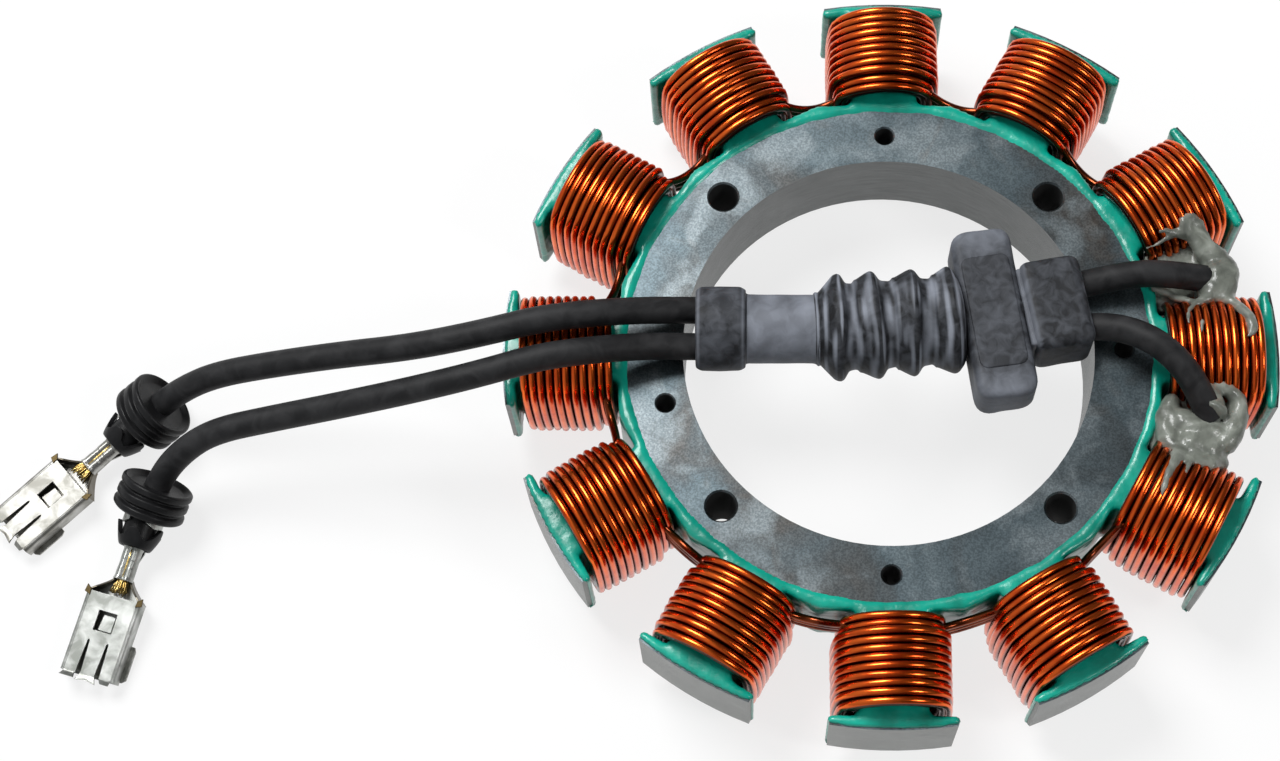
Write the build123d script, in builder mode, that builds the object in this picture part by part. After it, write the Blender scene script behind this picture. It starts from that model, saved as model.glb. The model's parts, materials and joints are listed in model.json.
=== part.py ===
from build123d import *
import os
from math import cos, pi, radians, sin, sqrt, tan

# Wound stator: twelve coils on a coated ring of poles, with two cords that leave it through a boot.
# Millimetres. The bore axis is Z through the origin, and the undersides of the coils are at z = 0.

os.makedirs("parts", exist_ok=True)

# Steel sheets: ring, poles and shoes
pole_count = 12
bore_radius = 35.4
tip_radius = 66.7
ring_flat_radius = 46.2
ring_corner_fillet = 12.0
pole_width = 11.0
shoe_width = 21.1
shoe_end_thickness = 1.36
stack_height = 16.5

# Resin coat, with the masked face of the ring left bare
coat_thickness = 0.35
bare_face_radius = 45.0

# Holes through the ring
hole_circle_radius = 40.4
fixing_hole_count = 4
fixing_hole_start_angle = 45
fixing_hole_radius = 2.6
fixing_hole_chamfer = 0.3
small_hole_angles = (0, 90, 270)
small_hole_radius = 1.6
small_hole_chamfer = 0.25
odd_hole_angle = 194.8
odd_hole_circle_radius = 39.6
edge_radius_slack = 0.01

# Coils: depth of wire at the sides and over the ends of each pole, and where it gets thinner
turn_count = 12
coil_side_depth = 4.3
coil_end_depth = 5.55
coil_clearance = 0.1
coil_ring_gap = 0.7
coil_straight_share = 0.42
groove_depth = 0.5
outer_turn_drop = 0.08
thinning_turns = 2

# Wire between the coils: short stretches that cross the slots near the ring
wire_radius = 0.7
jumper_turn = 1.5
jumper_height = 21.8
jumper_slope = 16.0
jumper_half_length = 4.6

# Cords
cord_radius = 2.35
cord_arc_share = 0.45
splice_radius = 1.6
splice_length = 3.0
tail_bend = 1.0
tail_bend_radius = 0.8
tail_drop = 3.0
tail_reach = 7.5

# Sealant in the two slots where the cords end
sealant_bottom = 13.0
sealant_height = 14.6
sealant_edge = 1.0

# Boot: collar, tube, bellows, cross-bar and block, and where each of them starts or has its middle
boot_height = 25.4
collar_place = (-33.1, 2.4)
bellows_place = (-12.1, 2.4)
bar_place = (17.7, 4.05)
bar_turn = 8.6
block_place = (28.4, 5.7)
block_turn = 10.0
collar_radius = 7.2
collar_length = 8.6
collar_edge = 1.0
tube_radius = 6.1
bellows_turn = 4.3
fold_count = 4
fold_pitch = 6.6
fold_radius = 9.25
fold_tip = 0.8
fold_valley_radius = 7.6
fold_rise = 2.7
fold_fall = 1.7
bar_length = 30.8
bar_width = 10.4
bar_thickness = 9.6
bar_edge = 2.4
bar_panel_length = 21.0
bar_panel_width = 7.0
bar_panel_depth = 0.3
neck_radius = 4.6
block_length = 10.4
block_width = 16.2
block_thickness = 11.5
block_edge = 2.2

# Ribbed seal, neck and cup on the end of each cord
seal_radius = 6.5
seal_thickness = 5.8
seal_rib_count = 3
seal_groove_depth = 0.7
seal_groove_width = 0.8
seal_setback = 9.8
seal_rim = 1.0
seal_dish_depth = 0.6
seal_neck_radius = 3.1
seal_neck_length = 8.4
cup_radius = 4.2
cup_end_radius = 2.9
cup_length = 3.6
cup_wall = 0.9
cup_scallop_radius = 2.6

# Bared strands and sheet-metal terminal
strand_radius = 1.15
strand_length = 8.0
sheet = 0.45
barrel_radius = 1.6
barrel_start = 0.4
barrel_length = 5.6
strap_width = 2.4
strap_rise_length = 1.8
grip_start = -6.4
grip_length = 2.0
shoulder_length = 3.2
box_width = 10.3
box_height = 3.6
box_length = 14.6
window_length = 3.6
window_width = 3.4
window_start = 3.0
tine_length = 6.0
tine_slot = 0.45
tine_width = 2.9
tip_length = 0.9
tip_flare = 0.35
flange_width = 0.9
flange_length = 6.6

# Routes of the cords, from the sealant through the boot to the terminals. Over the coils a point's
# X and Y are shares of the pole circle's radius, so that both cords keep their places in the slots.
cord_1_shares = [(0.8243, 0.1852, 24.0), (0.7346, 0.1799, 27.0), (0.6319, 0.1808, 27.4)]
cord_2_shares = [(0.8081, -0.1889, 23.9), (0.7706, -0.1259, 28.5), (0.6882, -0.0360, 30.6)]
cord_1_points = [
    (33.46, 10.65, 25.7), (24.0, 8.6, 25.4), (10.0, 7.1, 25.4), (-6.0, 6.0, 25.4),
    (-20.0, 5.75, 25.4), (-32.5, 5.75, 25.6), (-41.0, 4.9, 27.9), (-49.5, 3.1, 31.3),
    (-59.5, 1.8, 31.7), (-70.0, -0.7, 30.9), (-82.0, -2.0, 27.8), (-95.0, -1.75, 23.3),
    (-108.0, -2.1, 19.2), (-118.0, -2.95, 16.4), (-124.6, -4.1, 12.2), (-130.3, -6.0, 7.3),
    (-134.4, -8.75, 5.1), (-138.3, -12.3, 4.6),
]
cord_2_points = [
    (39.9, 1.4, 28.8), (34.1, 2.75, 26.3), (24.0, 1.5, 25.4), (10.0, 0.3, 25.4),
    (-6.0, -0.75, 25.4), (-20.0, -1.0, 25.4), (-32.5, -0.95, 25.6), (-41.0, -1.7, 27.8),
    (-49.5, -3.5, 31.1), (-59.5, -5.0, 31.4), (-70.0, -7.9, 30.5), (-82.0, -9.8, 27.4),
    (-95.0, -11.0, 22.9), (-107.5, -12.15, 19.0), (-117.0, -13.4, 16.6), (-122.6, -15.8, 14.3),
    (-127.5, -19.0, 9.9), (-130.9, -24.75, 5.4), (-132.8, -31.55, 4.75),
]

# Outlines of the sealant seen from above, in a frame whose X axis runs along the middle of its slot
sealant_1_outline = [
    (46.3, 2.5), (50.0, 7.5), (53.5, 9.2), (57.6, 7.9), (58.6, 3.5), (60.8, 0.5),
    (61.5, -2.5), (60.0, -6.5), (57.5, -9.0), (52.4, -8.4), (48.6, -6.5), (46.3, -2.0),
]
sealant_2_outline = [
    (46.2, 1.3), (49.8, 4.8), (53.0, 7.5), (56.5, 8.6), (60.2, 4.8), (60.6, 0.0),
    (59.4, -4.5), (57.5, -8.5), (54.0, -9.8), (50.0, -9.0), (47.2, -6.0), (46.0, -2.0),
]

# Places that follow from the sizes above
pitch_angle = 360 / pole_count
stack_bottom = coil_end_depth + coil_clearance + coat_thickness
mid_height = stack_bottom + stack_height / 2
shoe_inner = sqrt(tip_radius**2 - (shoe_width / 2) ** 2) - shoe_end_thickness
coil_inner = ring_flat_radius + coat_thickness + coil_ring_gap
coil_outer = shoe_inner - coat_thickness - coil_clearance
turn_pitch = (coil_outer - coil_inner) / turn_count
coil_half_width = pole_width / 2 + coat_thickness + coil_clearance + coil_side_depth
coil_half_height = stack_height / 2 + coat_thickness + coil_clearance + coil_end_depth


def finish(builder, label):
    builder.part.label = label
    export_step(builder.part, f"parts/{label}.step")


def slot_plane(slot):
    """Horizontal plane whose X axis runs outwards along the middle of a slot."""
    angle = radians((slot + 0.5) * pitch_angle)
    return Plane(origin=(0, 0, 0), x_dir=(cos(angle), sin(angle), 0), z_dir=(0, 0, 1))


def sheet_outline(skin):
    """Ring, poles and shoes, grown by the thickness of a skin on all but the shoes' outer faces."""
    half_shoe = shoe_width / 2 + skin
    inner = shoe_inner - skin
    corner = sqrt(tip_radius**2 - half_shoe**2)
    with BuildSketch() as shoe:
        with BuildLine():
            Polyline((corner, -half_shoe), (inner, -half_shoe), (inner, half_shoe), (corner, half_shoe))
            ThreePointArc((corner, half_shoe), (tip_radius, 0), (corner, -half_shoe))
        make_face()
    with BuildSketch() as outline:
        ring = RegularPolygon(ring_flat_radius + skin, pole_count, major_radius=False)
        fillet(ring.vertices(), ring_corner_fillet)
        with PolarLocations(0, pole_count):
            with Locations(((bore_radius + inner) / 2, 0)):
                Rectangle(inner - bore_radius, pole_width + 2 * skin)
            add(shoe.sketch)
    return outline.sketch


def hole_edges(builder, radius):
    circles = builder.edges(Select.LAST).filter_by(GeomType.CIRCLE)
    return circles.filter_by(lambda edge: abs(edge.radius - radius) < edge_radius_slack)


steel_outline = sheet_outline(0)
coat_outline = sheet_outline(coat_thickness)

# Stack of steel sheets
with BuildPart() as stack:
    with BuildSketch(Plane.XY.offset(stack_bottom)):
        add(steel_outline)
        Circle(bore_radius, mode=Mode.SUBTRACT)
    extrude(amount=stack_height)
    with BuildSketch(Plane.XY.offset(stack_bottom)):
        with PolarLocations(hole_circle_radius, fixing_hole_count, start_angle=fixing_hole_start_angle):
            Circle(fixing_hole_radius)
    extrude(amount=stack_height, mode=Mode.SUBTRACT)
    chamfer(hole_edges(stack, fixing_hole_radius), fixing_hole_chamfer)
    with BuildSketch(Plane.XY.offset(stack_bottom)):
        for angle in small_hole_angles:
            with PolarLocations(hole_circle_radius, 1, start_angle=angle):
                Circle(small_hole_radius)
        with PolarLocations(odd_hole_circle_radius, 1, start_angle=odd_hole_angle):
            Circle(small_hole_radius)
    extrude(amount=stack_height, mode=Mode.SUBTRACT)
    chamfer(hole_edges(stack, small_hole_radius), small_hole_chamfer)
finish(stack, "lamination_stack")


# Resin coat: a skin around the poles and the outer wall of the ring, open at the shoes' outer faces
with BuildPart() as coat:
    with BuildSketch(Plane.XY.offset(stack_bottom - coat_thickness)):
        add(coat_outline)
        Circle(bare_face_radius, mode=Mode.SUBTRACT)
    extrude(amount=stack_height + 2 * coat_thickness)
    add(stack.part, mode=Mode.SUBTRACT)
finish(coat, "insulating_coat")


# Coils: each turn is a ridge around the pole
def turn_size(turn):
    """Size of one turn as a share of the fullest one: the turns at both ends of a coil lie lower."""
    from_end = min(turn, turn_count - 1 - turn)
    return 1 - outer_turn_drop * max(0, thinning_turns - from_end) / thinning_turns


def coil_outline(size):
    """Points of a section across the coil: straight sides and an arch over each end of the pole."""
    straight = coil_half_height * coil_straight_share
    arch = coil_half_height - straight
    angles = (0, pi / 4, pi / 2)
    half = [(coil_half_width * cos(angle), straight + arch * sin(angle)) for angle in angles]
    top = half + [(-across, up) for across, up in half[1::-1]]
    return [(across * size, up * size) for across, up in top + [(-a, -u) for a, u in top]]


sections = []
for turn in range(turn_count):
    ridge = turn_size(turn)
    lower_neighbour = min(ridge, turn_size(max(turn - 1, 0)))
    groove = lower_neighbour - groove_depth / coil_half_width
    sections.append((coil_inner + turn * turn_pitch, groove))
    sections.append((coil_inner + (turn + 0.5) * turn_pitch, ridge))
sections.append((coil_outer, turn_size(turn_count - 1) - groove_depth / coil_half_width))

with BuildPart() as coil:
    for distance, size in sections:
        with BuildSketch(Plane.YZ.offset(distance)):
            with Locations((0, mid_height)):
                Polygon(*coil_outline(size), align=None)
    loft(ruled=True)
    with BuildSketch(Plane.YZ.offset(coil_inner)):
        with Locations((0, mid_height)):
            Rectangle(
                pole_width + 2 * (coat_thickness + coil_clearance),
                stack_height + 2 * (coat_thickness + coil_clearance),
            )
    extrude(amount=coil_outer - coil_inner, mode=Mode.SUBTRACT)

with BuildPart() as coil_envelope:
    with BuildSketch(Plane.YZ.offset(coil_inner)):
        with Locations((0, mid_height)):
            Polygon(*coil_outline(1), align=None)
    extrude(amount=coil_outer - coil_inner)

for pole in range(pole_count):
    with BuildPart() as winding:
        with PolarLocations(0, 1, start_angle=pole * pitch_angle):
            add(coil.part)
    finish(winding, f"winding_{pole + 1:02d}")


# Short wires from coil to coil, one in each slot but the last, where the chain of coils ends
jumpers = []
for slot in range(pole_count - 1):
    plane = slot_plane(slot)
    slope = radians(jumper_slope)
    along = plane.y_dir * cos(slope) + plane.z_dir * sin(slope)
    middle = plane.from_local_coords(Vector(coil_inner + jumper_turn * turn_pitch, 0, jumper_height))
    with BuildPart() as jumper:
        with BuildSketch(Plane(origin=middle, z_dir=along)):
            Circle(wire_radius)
        extrude(amount=jumper_half_length, both=True)
        for pole in (slot, slot + 1):
            with PolarLocations(0, 1, start_angle=pole * pitch_angle):
                add(coil.part, mode=Mode.SUBTRACT)
    finish(jumper, f"coil_jumper_{slot + 1:02d}")
    jumpers.append(jumper.part)


# Cords: straight runs joined by tangent arcs, each as large as its two runs allow
def cord_radii(points):
    corners = [Vector(*point) for point in points]
    radii = []
    for before, corner, after in zip(corners, corners[1:], corners[2:]):
        shorter = min((corner - before).length, (after - corner).length)
        half_turn = radians((corner - before).get_angle(after - corner) / 2)
        radii.append(cord_arc_share * shorter / tan(half_turn))
    return radii


cords = []
routes = []
for number, shares, rest in ((1, cord_1_shares, cord_1_points), (2, cord_2_shares, cord_2_points)):
    points = [(tip_radius * across, tip_radius * along, height) for across, along, height in shares]
    points.extend(rest)
    radii = cord_radii(points)
    print(f"cord {number} radii", [round(radius, 1) for radius in radii])
    with BuildPart() as cord:
        with BuildLine() as route:
            FilletPolyline(*points, radius=radii)
        path = route.wires()[0]
        with BuildSketch(Plane(origin=path @ 0, z_dir=path % 0)):
            Circle(cord_radius)
        sweep(path=path)
    print(f"cord {number} length", round(path.length, 1))
    finish(cord, f"lead_{number}")
    cords.append(cord.part)
    routes.append(path)


# Boot: straight collar and tube, bellows that bend a little, cross-bar and end block
def turned_plane(place, angle):
    turned = radians(angle)
    return Plane(origin=(*place, boot_height), x_dir=(cos(turned), sin(turned), 0), z_dir=(0, 0, 1))


collar_plane = turned_plane(collar_place, 0)
bellows_plane = turned_plane(bellows_place, bellows_turn)
bar_plane = turned_plane(bar_place, bar_turn)
block_plane = turned_plane(block_place, block_turn)
tube_length = bellows_plane.origin.X - collar_plane.origin.X

fold_points = [(-tube_radius, 0), (-tube_radius, tube_radius), (0, tube_radius)]
for fold in range(fold_count):
    rise = fold * fold_pitch
    fold_points.append((rise + fold_rise, fold_radius))
    fold_points.append((rise + fold_rise + fold_tip, fold_radius))
    fold_points.append((rise + fold_rise + fold_tip + fold_fall, fold_valley_radius))
    if fold < fold_count - 1:
        fold_points.append((rise + fold_pitch, fold_valley_radius))
fold_points.append((fold_points[-1][0], 0))

with BuildPart() as boot:
    with BuildSketch(collar_plane):
        with BuildLine():
            Polyline(
                (0, 0),
                (0, collar_radius - collar_edge),
                (collar_edge, collar_radius),
                (collar_length - collar_edge, collar_radius),
                (collar_length, collar_radius - collar_edge),
                (collar_length, tube_radius),
                (tube_length, tube_radius),
                (tube_length, 0),
                close=True,
            )
        make_face()
    revolve(axis=Axis(collar_plane.origin, collar_plane.x_dir))
    with BuildSketch(bellows_plane):
        with BuildLine():
            Polyline(*fold_points, close=True)
        make_face()
    revolve(axis=Axis(bellows_plane.origin, bellows_plane.x_dir))
    with BuildSketch(Plane(origin=bar_plane.origin, z_dir=bar_plane.x_dir)):
        Circle(neck_radius)
    extrude(amount=bar_width, both=True)

with BuildPart() as cross_bar:
    with BuildSketch(bar_plane.offset(-bar_thickness / 2)):
        RectangleRounded(bar_width, bar_length, bar_edge)
    extrude(amount=bar_thickness)
    chamfer(cross_bar.faces().group_by(Axis.Z)[-1].edges(), bar_edge / 2)
    chamfer(cross_bar.faces().group_by(Axis.Z)[0].edges(), bar_edge / 2)
    with BuildSketch(bar_plane.offset(bar_thickness / 2)):
        Rectangle(bar_panel_width, bar_panel_length)
    extrude(amount=bar_panel_depth)

with BuildPart() as block:
    with BuildSketch(block_plane.offset(-block_thickness / 2)):
        RectangleRounded(block_length, block_width, block_edge / 2)
    extrude(amount=block_thickness)
    chamfer(block.faces().group_by(Axis.Z)[-1].edges(), block_edge / 2)
    chamfer(block.faces().group_by(Axis.Z)[0].edges(), block_edge / 2)

with BuildPart() as whole_boot:
    add(boot.part)
    add(cross_bar.part)
    add(block.part)
    for cord_part in cords:
        add(cord_part, mode=Mode.SUBTRACT)
finish(whole_boot, "boot")


# Terminal, drawn with its strands along X and placed on the end of each cord below
box_start = barrel_start + barrel_length + shoulder_length
box_end = box_start + box_length
box_bottom = -barrel_radius - sheet / 2
strap_rise_start = barrel_start / 2
strap_rise_end = strap_rise_start + strap_rise_length
with BuildPart() as terminal:
    with BuildSketch(Plane.YZ.offset(barrel_start)):
        Circle(barrel_radius)
        Circle(strand_radius, mode=Mode.SUBTRACT)
    extrude(amount=barrel_length)
    with BuildSketch(Plane.YZ.offset(box_start)):
        with Locations((0, box_bottom + box_height / 2)):
            Rectangle(box_width, box_height)
            Rectangle(box_width - 2 * sheet, box_height - 2 * sheet, mode=Mode.SUBTRACT)
    extrude(amount=box_length)
    with BuildSketch(Plane.XY.offset(box_bottom)):
        with BuildLine():
            Polyline(
                (strap_rise_end, -strap_width / 2),
                (box_start - shoulder_length, -strap_width / 2),
                (box_start, -box_width / 2),
                (box_start, box_width / 2),
                (box_start - shoulder_length, strap_width / 2),
                (strap_rise_end, strap_width / 2),
                close=True,
            )
        make_face()
        with Locations((box_start + flange_length / 2, box_width / 2 + flange_width / 2)):
            Rectangle(flange_length, flange_width)
    extrude(amount=sheet)
    with BuildSketch(Plane.XZ.offset(-strap_width / 2)):
        with BuildLine():
            Polyline(
                (grip_start, -seal_neck_radius - sheet),
                (strap_rise_start, -seal_neck_radius - sheet),
                (strap_rise_end, box_bottom),
                (strap_rise_end, box_bottom + sheet),
                (strap_rise_start, -seal_neck_radius),
                (grip_start, -seal_neck_radius),
                close=True,
            )
        make_face()
    extrude(amount=strap_width)
    with BuildSketch(Plane.YZ.offset(grip_start)):
        Circle(seal_neck_radius + sheet)
        Circle(seal_neck_radius, mode=Mode.SUBTRACT)
        with Locations((0, seal_neck_radius)):
            Rectangle(strap_width, seal_neck_radius, mode=Mode.SUBTRACT)
    extrude(amount=grip_length)
    with BuildSketch(Plane.XY.offset(box_bottom + box_height - sheet)):
        with Locations((box_start + window_start + window_length / 2, 0)):
            Rectangle(window_length, window_width)
        with Locations((box_end - tine_length / 2, 0)):
            with GridLocations(0, tine_width + tine_slot, 1, 2):
                Rectangle(tine_length, tine_slot)
    extrude(amount=sheet, mode=Mode.SUBTRACT)
    with BuildSketch(Plane.XY.offset(box_bottom + box_height - sheet)):
        with BuildLine():
            Polyline(
                (box_end, -tine_width / 2),
                (box_end + tip_length, -tine_width / 2 - tip_flare),
                (box_end + tip_length, tine_width / 2 + tip_flare),
                (box_end, tine_width / 2),
                close=True,
            )
        make_face()
    extrude(amount=sheet)

with BuildPart() as strands:
    with BuildSketch(Plane.YZ):
        Circle(strand_radius)
    extrude(amount=strand_length)

# Cup and neck of the seal, along the same axis
with BuildPart() as cup:
    with BuildSketch(Plane.XY):
        with BuildLine():
            Polyline(
                (-seal_neck_length, 0),
                (-seal_neck_length, seal_neck_radius),
                (-cup_length + cup_wall, seal_neck_radius),
                (-cup_length, cup_radius - cup_wall),
                (-cup_length, cup_radius),
                (0, cup_end_radius),
                (0, 0),
                close=True,
            )
        make_face()
    revolve(axis=Axis.X)
    with BuildSketch(Plane.XY):
        with Locations((-cup_length - cup_wall, 0)):
            Circle(cup_scallop_radius)
    extrude(amount=cup_radius, mode=Mode.SUBTRACT)


def along_plane(point, direction):
    """Plane whose X axis points along a direction and whose Y axis is level."""
    across = Vector(0, 0, 1).cross(direction).normalized()
    return Plane(origin=point, x_dir=direction, z_dir=direction.cross(across))


rib_width = (seal_thickness - (seal_rib_count - 1) * seal_groove_width) / seal_rib_count
dish_radius = seal_radius - seal_rim - seal_dish_depth
seal_points = [
    (seal_dish_depth, 0),
    (seal_dish_depth, dish_radius),
    (0, seal_radius - seal_rim),
    (0, seal_radius),
]
for rib in range(1, seal_rib_count):
    groove_start = rib * rib_width + (rib - 1) * seal_groove_width
    seal_points.append((groove_start, seal_radius))
    seal_points.append((groove_start + seal_groove_width / 2, seal_radius - seal_groove_depth))
    seal_points.append((groove_start + seal_groove_width, seal_radius))
seal_points.extend([(seal_thickness, seal_radius), (seal_thickness, 0)])

for number, path in enumerate(routes, start=1):
    end_plane = along_plane(path @ 1, path % 1)
    seal_share = 1 - (seal_setback + seal_thickness / 2) / path.length
    seal_plane = along_plane(path @ seal_share, path % (seal_share + 0.5 * seal_thickness / path.length))
    with BuildPart() as placed_terminal:
        with Locations(end_plane.location):
            add(terminal.part)
    finish(placed_terminal, f"terminal_{number}")
    with BuildPart() as placed_strands:
        with Locations(end_plane.location):
            add(strands.part)
    finish(placed_strands, f"conductor_end_{number}")
    with BuildPart() as seal:
        with BuildSketch(seal_plane):
            with BuildLine():
                Polyline(*seal_points, close=True)
            make_face()
        revolve(axis=Axis(seal_plane.origin, seal_plane.x_dir))
        with Locations(end_plane.location):
            add(cup.part)
        add(cords[number - 1], mode=Mode.SUBTRACT)
        add(placed_terminal.part, mode=Mode.SUBTRACT)
    finish(seal, f"cable_seal_{number}")


# Inside the sealant: the sleeve on the end of each cord, the coil's free end, and the sealant around them
for number, slot, outline in ((1, 0, sealant_1_outline), (2, pole_count - 1, sealant_2_outline)):
    path = routes[number - 1]
    cord_end = path @ 0
    outwards = (path % 0) * -1
    with BuildPart() as sleeve:
        with BuildSketch(Plane(origin=cord_end, z_dir=outwards)):
            Circle(splice_radius)
        extrude(amount=splice_length)
    finish(sleeve, f"splice_sleeve_{number}")
    sleeve_end = cord_end + outwards * splice_length
    plane = slot_plane(slot)
    tail_direction = (plane.y_dir * -tail_reach - plane.z_dir * tail_drop).normalized()
    tail_corner = sleeve_end + outwards * tail_bend
    with BuildPart() as tail:
        with BuildLine() as tail_route:
            tail_points = [sleeve_end, tail_corner, tail_corner + tail_direction * tail_reach]
            FilletPolyline(*tail_points, radius=tail_bend_radius)
        tail_path = tail_route.wires()[0]
        with BuildSketch(Plane(origin=sleeve_end, z_dir=outwards)):
            Circle(wire_radius)
        sweep(path=tail_path)
        with PolarLocations(0, 1, start_angle=slot * pitch_angle):
            add(coil_envelope.part, mode=Mode.SUBTRACT)
    finish(tail, f"coil_tail_{number}")
    with BuildPart() as sealant:
        with BuildSketch(plane.offset(sealant_bottom)):
            with BuildLine():
                Spline(*outline, periodic=True)
            make_face()
        extrude(amount=sealant_height)
        chamfer(sealant.faces().sort_by(Axis.Z)[-1].edges(), sealant_edge)
        for pole in (slot, slot + 1):
            with PolarLocations(0, 1, start_angle=pole * pitch_angle):
                add(coil_envelope.part, mode=Mode.SUBTRACT)
        for inner_part in (stack.part, coat.part, cords[number - 1], sleeve.part, tail.part, jumpers[0]):
            add(inner_part, mode=Mode.SUBTRACT)
    finish(sealant, f"sealant_{number}")
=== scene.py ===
import json
import math
import random

import bmesh
import bpy
from mathutils import Matrix, Vector, noise
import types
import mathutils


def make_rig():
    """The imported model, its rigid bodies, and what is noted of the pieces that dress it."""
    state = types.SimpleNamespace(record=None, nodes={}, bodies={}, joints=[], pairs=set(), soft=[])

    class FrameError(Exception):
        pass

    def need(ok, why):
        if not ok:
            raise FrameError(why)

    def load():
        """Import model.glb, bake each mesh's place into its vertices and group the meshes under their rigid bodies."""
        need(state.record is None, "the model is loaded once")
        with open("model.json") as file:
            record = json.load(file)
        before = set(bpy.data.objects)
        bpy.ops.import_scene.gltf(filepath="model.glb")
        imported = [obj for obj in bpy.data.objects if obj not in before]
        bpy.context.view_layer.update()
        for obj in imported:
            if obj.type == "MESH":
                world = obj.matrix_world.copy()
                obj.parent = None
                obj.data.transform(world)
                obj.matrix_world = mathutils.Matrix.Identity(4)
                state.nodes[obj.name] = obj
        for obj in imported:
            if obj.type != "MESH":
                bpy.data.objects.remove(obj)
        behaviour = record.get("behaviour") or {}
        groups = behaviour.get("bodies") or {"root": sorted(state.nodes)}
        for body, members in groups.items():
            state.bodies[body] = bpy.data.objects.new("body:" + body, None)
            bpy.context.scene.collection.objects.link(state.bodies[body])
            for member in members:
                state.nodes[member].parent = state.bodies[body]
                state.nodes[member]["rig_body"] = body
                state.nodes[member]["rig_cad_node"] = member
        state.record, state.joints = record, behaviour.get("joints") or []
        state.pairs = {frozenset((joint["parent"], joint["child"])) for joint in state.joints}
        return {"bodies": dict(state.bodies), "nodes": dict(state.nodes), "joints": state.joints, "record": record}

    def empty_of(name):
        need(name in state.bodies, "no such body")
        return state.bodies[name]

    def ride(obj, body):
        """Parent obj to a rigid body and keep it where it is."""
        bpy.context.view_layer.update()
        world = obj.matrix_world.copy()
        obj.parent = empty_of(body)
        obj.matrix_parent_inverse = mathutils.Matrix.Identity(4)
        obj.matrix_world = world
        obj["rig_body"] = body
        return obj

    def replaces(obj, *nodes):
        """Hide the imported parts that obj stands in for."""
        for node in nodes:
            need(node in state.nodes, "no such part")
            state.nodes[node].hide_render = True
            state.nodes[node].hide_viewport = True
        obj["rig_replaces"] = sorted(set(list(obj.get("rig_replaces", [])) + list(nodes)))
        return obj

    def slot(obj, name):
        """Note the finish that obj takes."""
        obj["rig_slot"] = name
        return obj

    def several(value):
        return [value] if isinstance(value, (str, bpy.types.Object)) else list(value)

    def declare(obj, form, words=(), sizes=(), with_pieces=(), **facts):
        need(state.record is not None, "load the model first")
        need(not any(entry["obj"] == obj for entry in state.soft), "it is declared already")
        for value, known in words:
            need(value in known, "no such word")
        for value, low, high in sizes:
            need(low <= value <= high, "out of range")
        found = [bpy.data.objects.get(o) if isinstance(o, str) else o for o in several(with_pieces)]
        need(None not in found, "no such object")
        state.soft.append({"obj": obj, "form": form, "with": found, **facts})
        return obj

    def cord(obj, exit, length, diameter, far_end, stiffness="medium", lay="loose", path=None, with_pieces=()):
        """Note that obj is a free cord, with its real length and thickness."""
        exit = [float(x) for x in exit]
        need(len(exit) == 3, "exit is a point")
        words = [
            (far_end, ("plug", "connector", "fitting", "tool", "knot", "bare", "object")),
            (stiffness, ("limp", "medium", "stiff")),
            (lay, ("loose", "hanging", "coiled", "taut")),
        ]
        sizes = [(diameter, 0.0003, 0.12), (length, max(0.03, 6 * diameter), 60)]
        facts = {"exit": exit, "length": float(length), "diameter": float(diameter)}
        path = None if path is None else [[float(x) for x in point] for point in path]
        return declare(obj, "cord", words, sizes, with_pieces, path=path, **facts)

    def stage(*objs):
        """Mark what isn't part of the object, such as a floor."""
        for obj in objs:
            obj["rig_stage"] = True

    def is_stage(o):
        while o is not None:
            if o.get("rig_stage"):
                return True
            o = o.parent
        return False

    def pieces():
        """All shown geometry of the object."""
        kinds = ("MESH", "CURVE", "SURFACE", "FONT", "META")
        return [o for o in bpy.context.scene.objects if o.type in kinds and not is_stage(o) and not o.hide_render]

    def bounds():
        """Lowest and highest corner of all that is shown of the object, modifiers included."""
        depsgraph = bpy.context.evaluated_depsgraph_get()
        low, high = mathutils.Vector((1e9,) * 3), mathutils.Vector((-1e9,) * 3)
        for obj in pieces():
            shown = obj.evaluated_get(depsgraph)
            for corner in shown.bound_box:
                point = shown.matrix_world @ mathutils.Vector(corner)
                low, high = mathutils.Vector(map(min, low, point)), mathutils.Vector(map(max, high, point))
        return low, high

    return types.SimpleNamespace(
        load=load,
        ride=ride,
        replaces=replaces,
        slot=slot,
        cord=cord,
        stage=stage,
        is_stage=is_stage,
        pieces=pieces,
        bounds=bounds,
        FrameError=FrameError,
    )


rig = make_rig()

mm = 0.001
toMetres = Matrix.Scale(mm, 4)
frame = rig.load()
cadLow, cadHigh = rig.bounds()
scene = bpy.context.scene
scene.view_settings.view_transform = "Standard"
print("frame loaded:", len(frame["nodes"]), "nodes")


def newObject(name, data):
    item = bpy.data.objects.new(name, data)
    scene.collection.objects.link(item)
    return item


# the photograph's viewpoint: place in mm, turn in degrees, lens for a 36 mm wide sensor
cameraView = {"place": (-22.73, -151.94, 425.02), "turn": (19.951, 2.454, 1.066), "lens": 69.9}
cameraData = bpy.data.cameras.new("photoCamera")
cameraData.lens = cameraView["lens"]
cameraData.sensor_width = 36
cameraData.clip_start = 0.01
cameraData.clip_end = 20
camera = newObject("photoCamera", cameraData)
camera.location = Vector(cameraView["place"]) * mm
camera.rotation_euler = [math.radians(angle) for angle in cameraView["turn"]]
scene.camera = camera


# shader helpers: a socket given as a value is linked, anything else is set
def addNode(tree, kind, inputs=None, **settings):
    node = tree.nodes.new(kind)
    for key, value in settings.items():
        setattr(node, key, value)
    for key, value in (inputs or {}).items():
        if isinstance(value, bpy.types.NodeSocket):
            tree.links.new(value, node.inputs[key])
        else:
            node.inputs[key].default_value = value
    return node


def result(tree, kind, inputs=None, **settings):
    # a new node's first output
    return addNode(tree, kind, inputs, **settings).outputs[0]


def calc(tree, operation, *values, clamp=False):
    inputs = dict(enumerate(values))
    return result(tree, "ShaderNodeMath", inputs, operation=operation, use_clamp=clamp)


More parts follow.
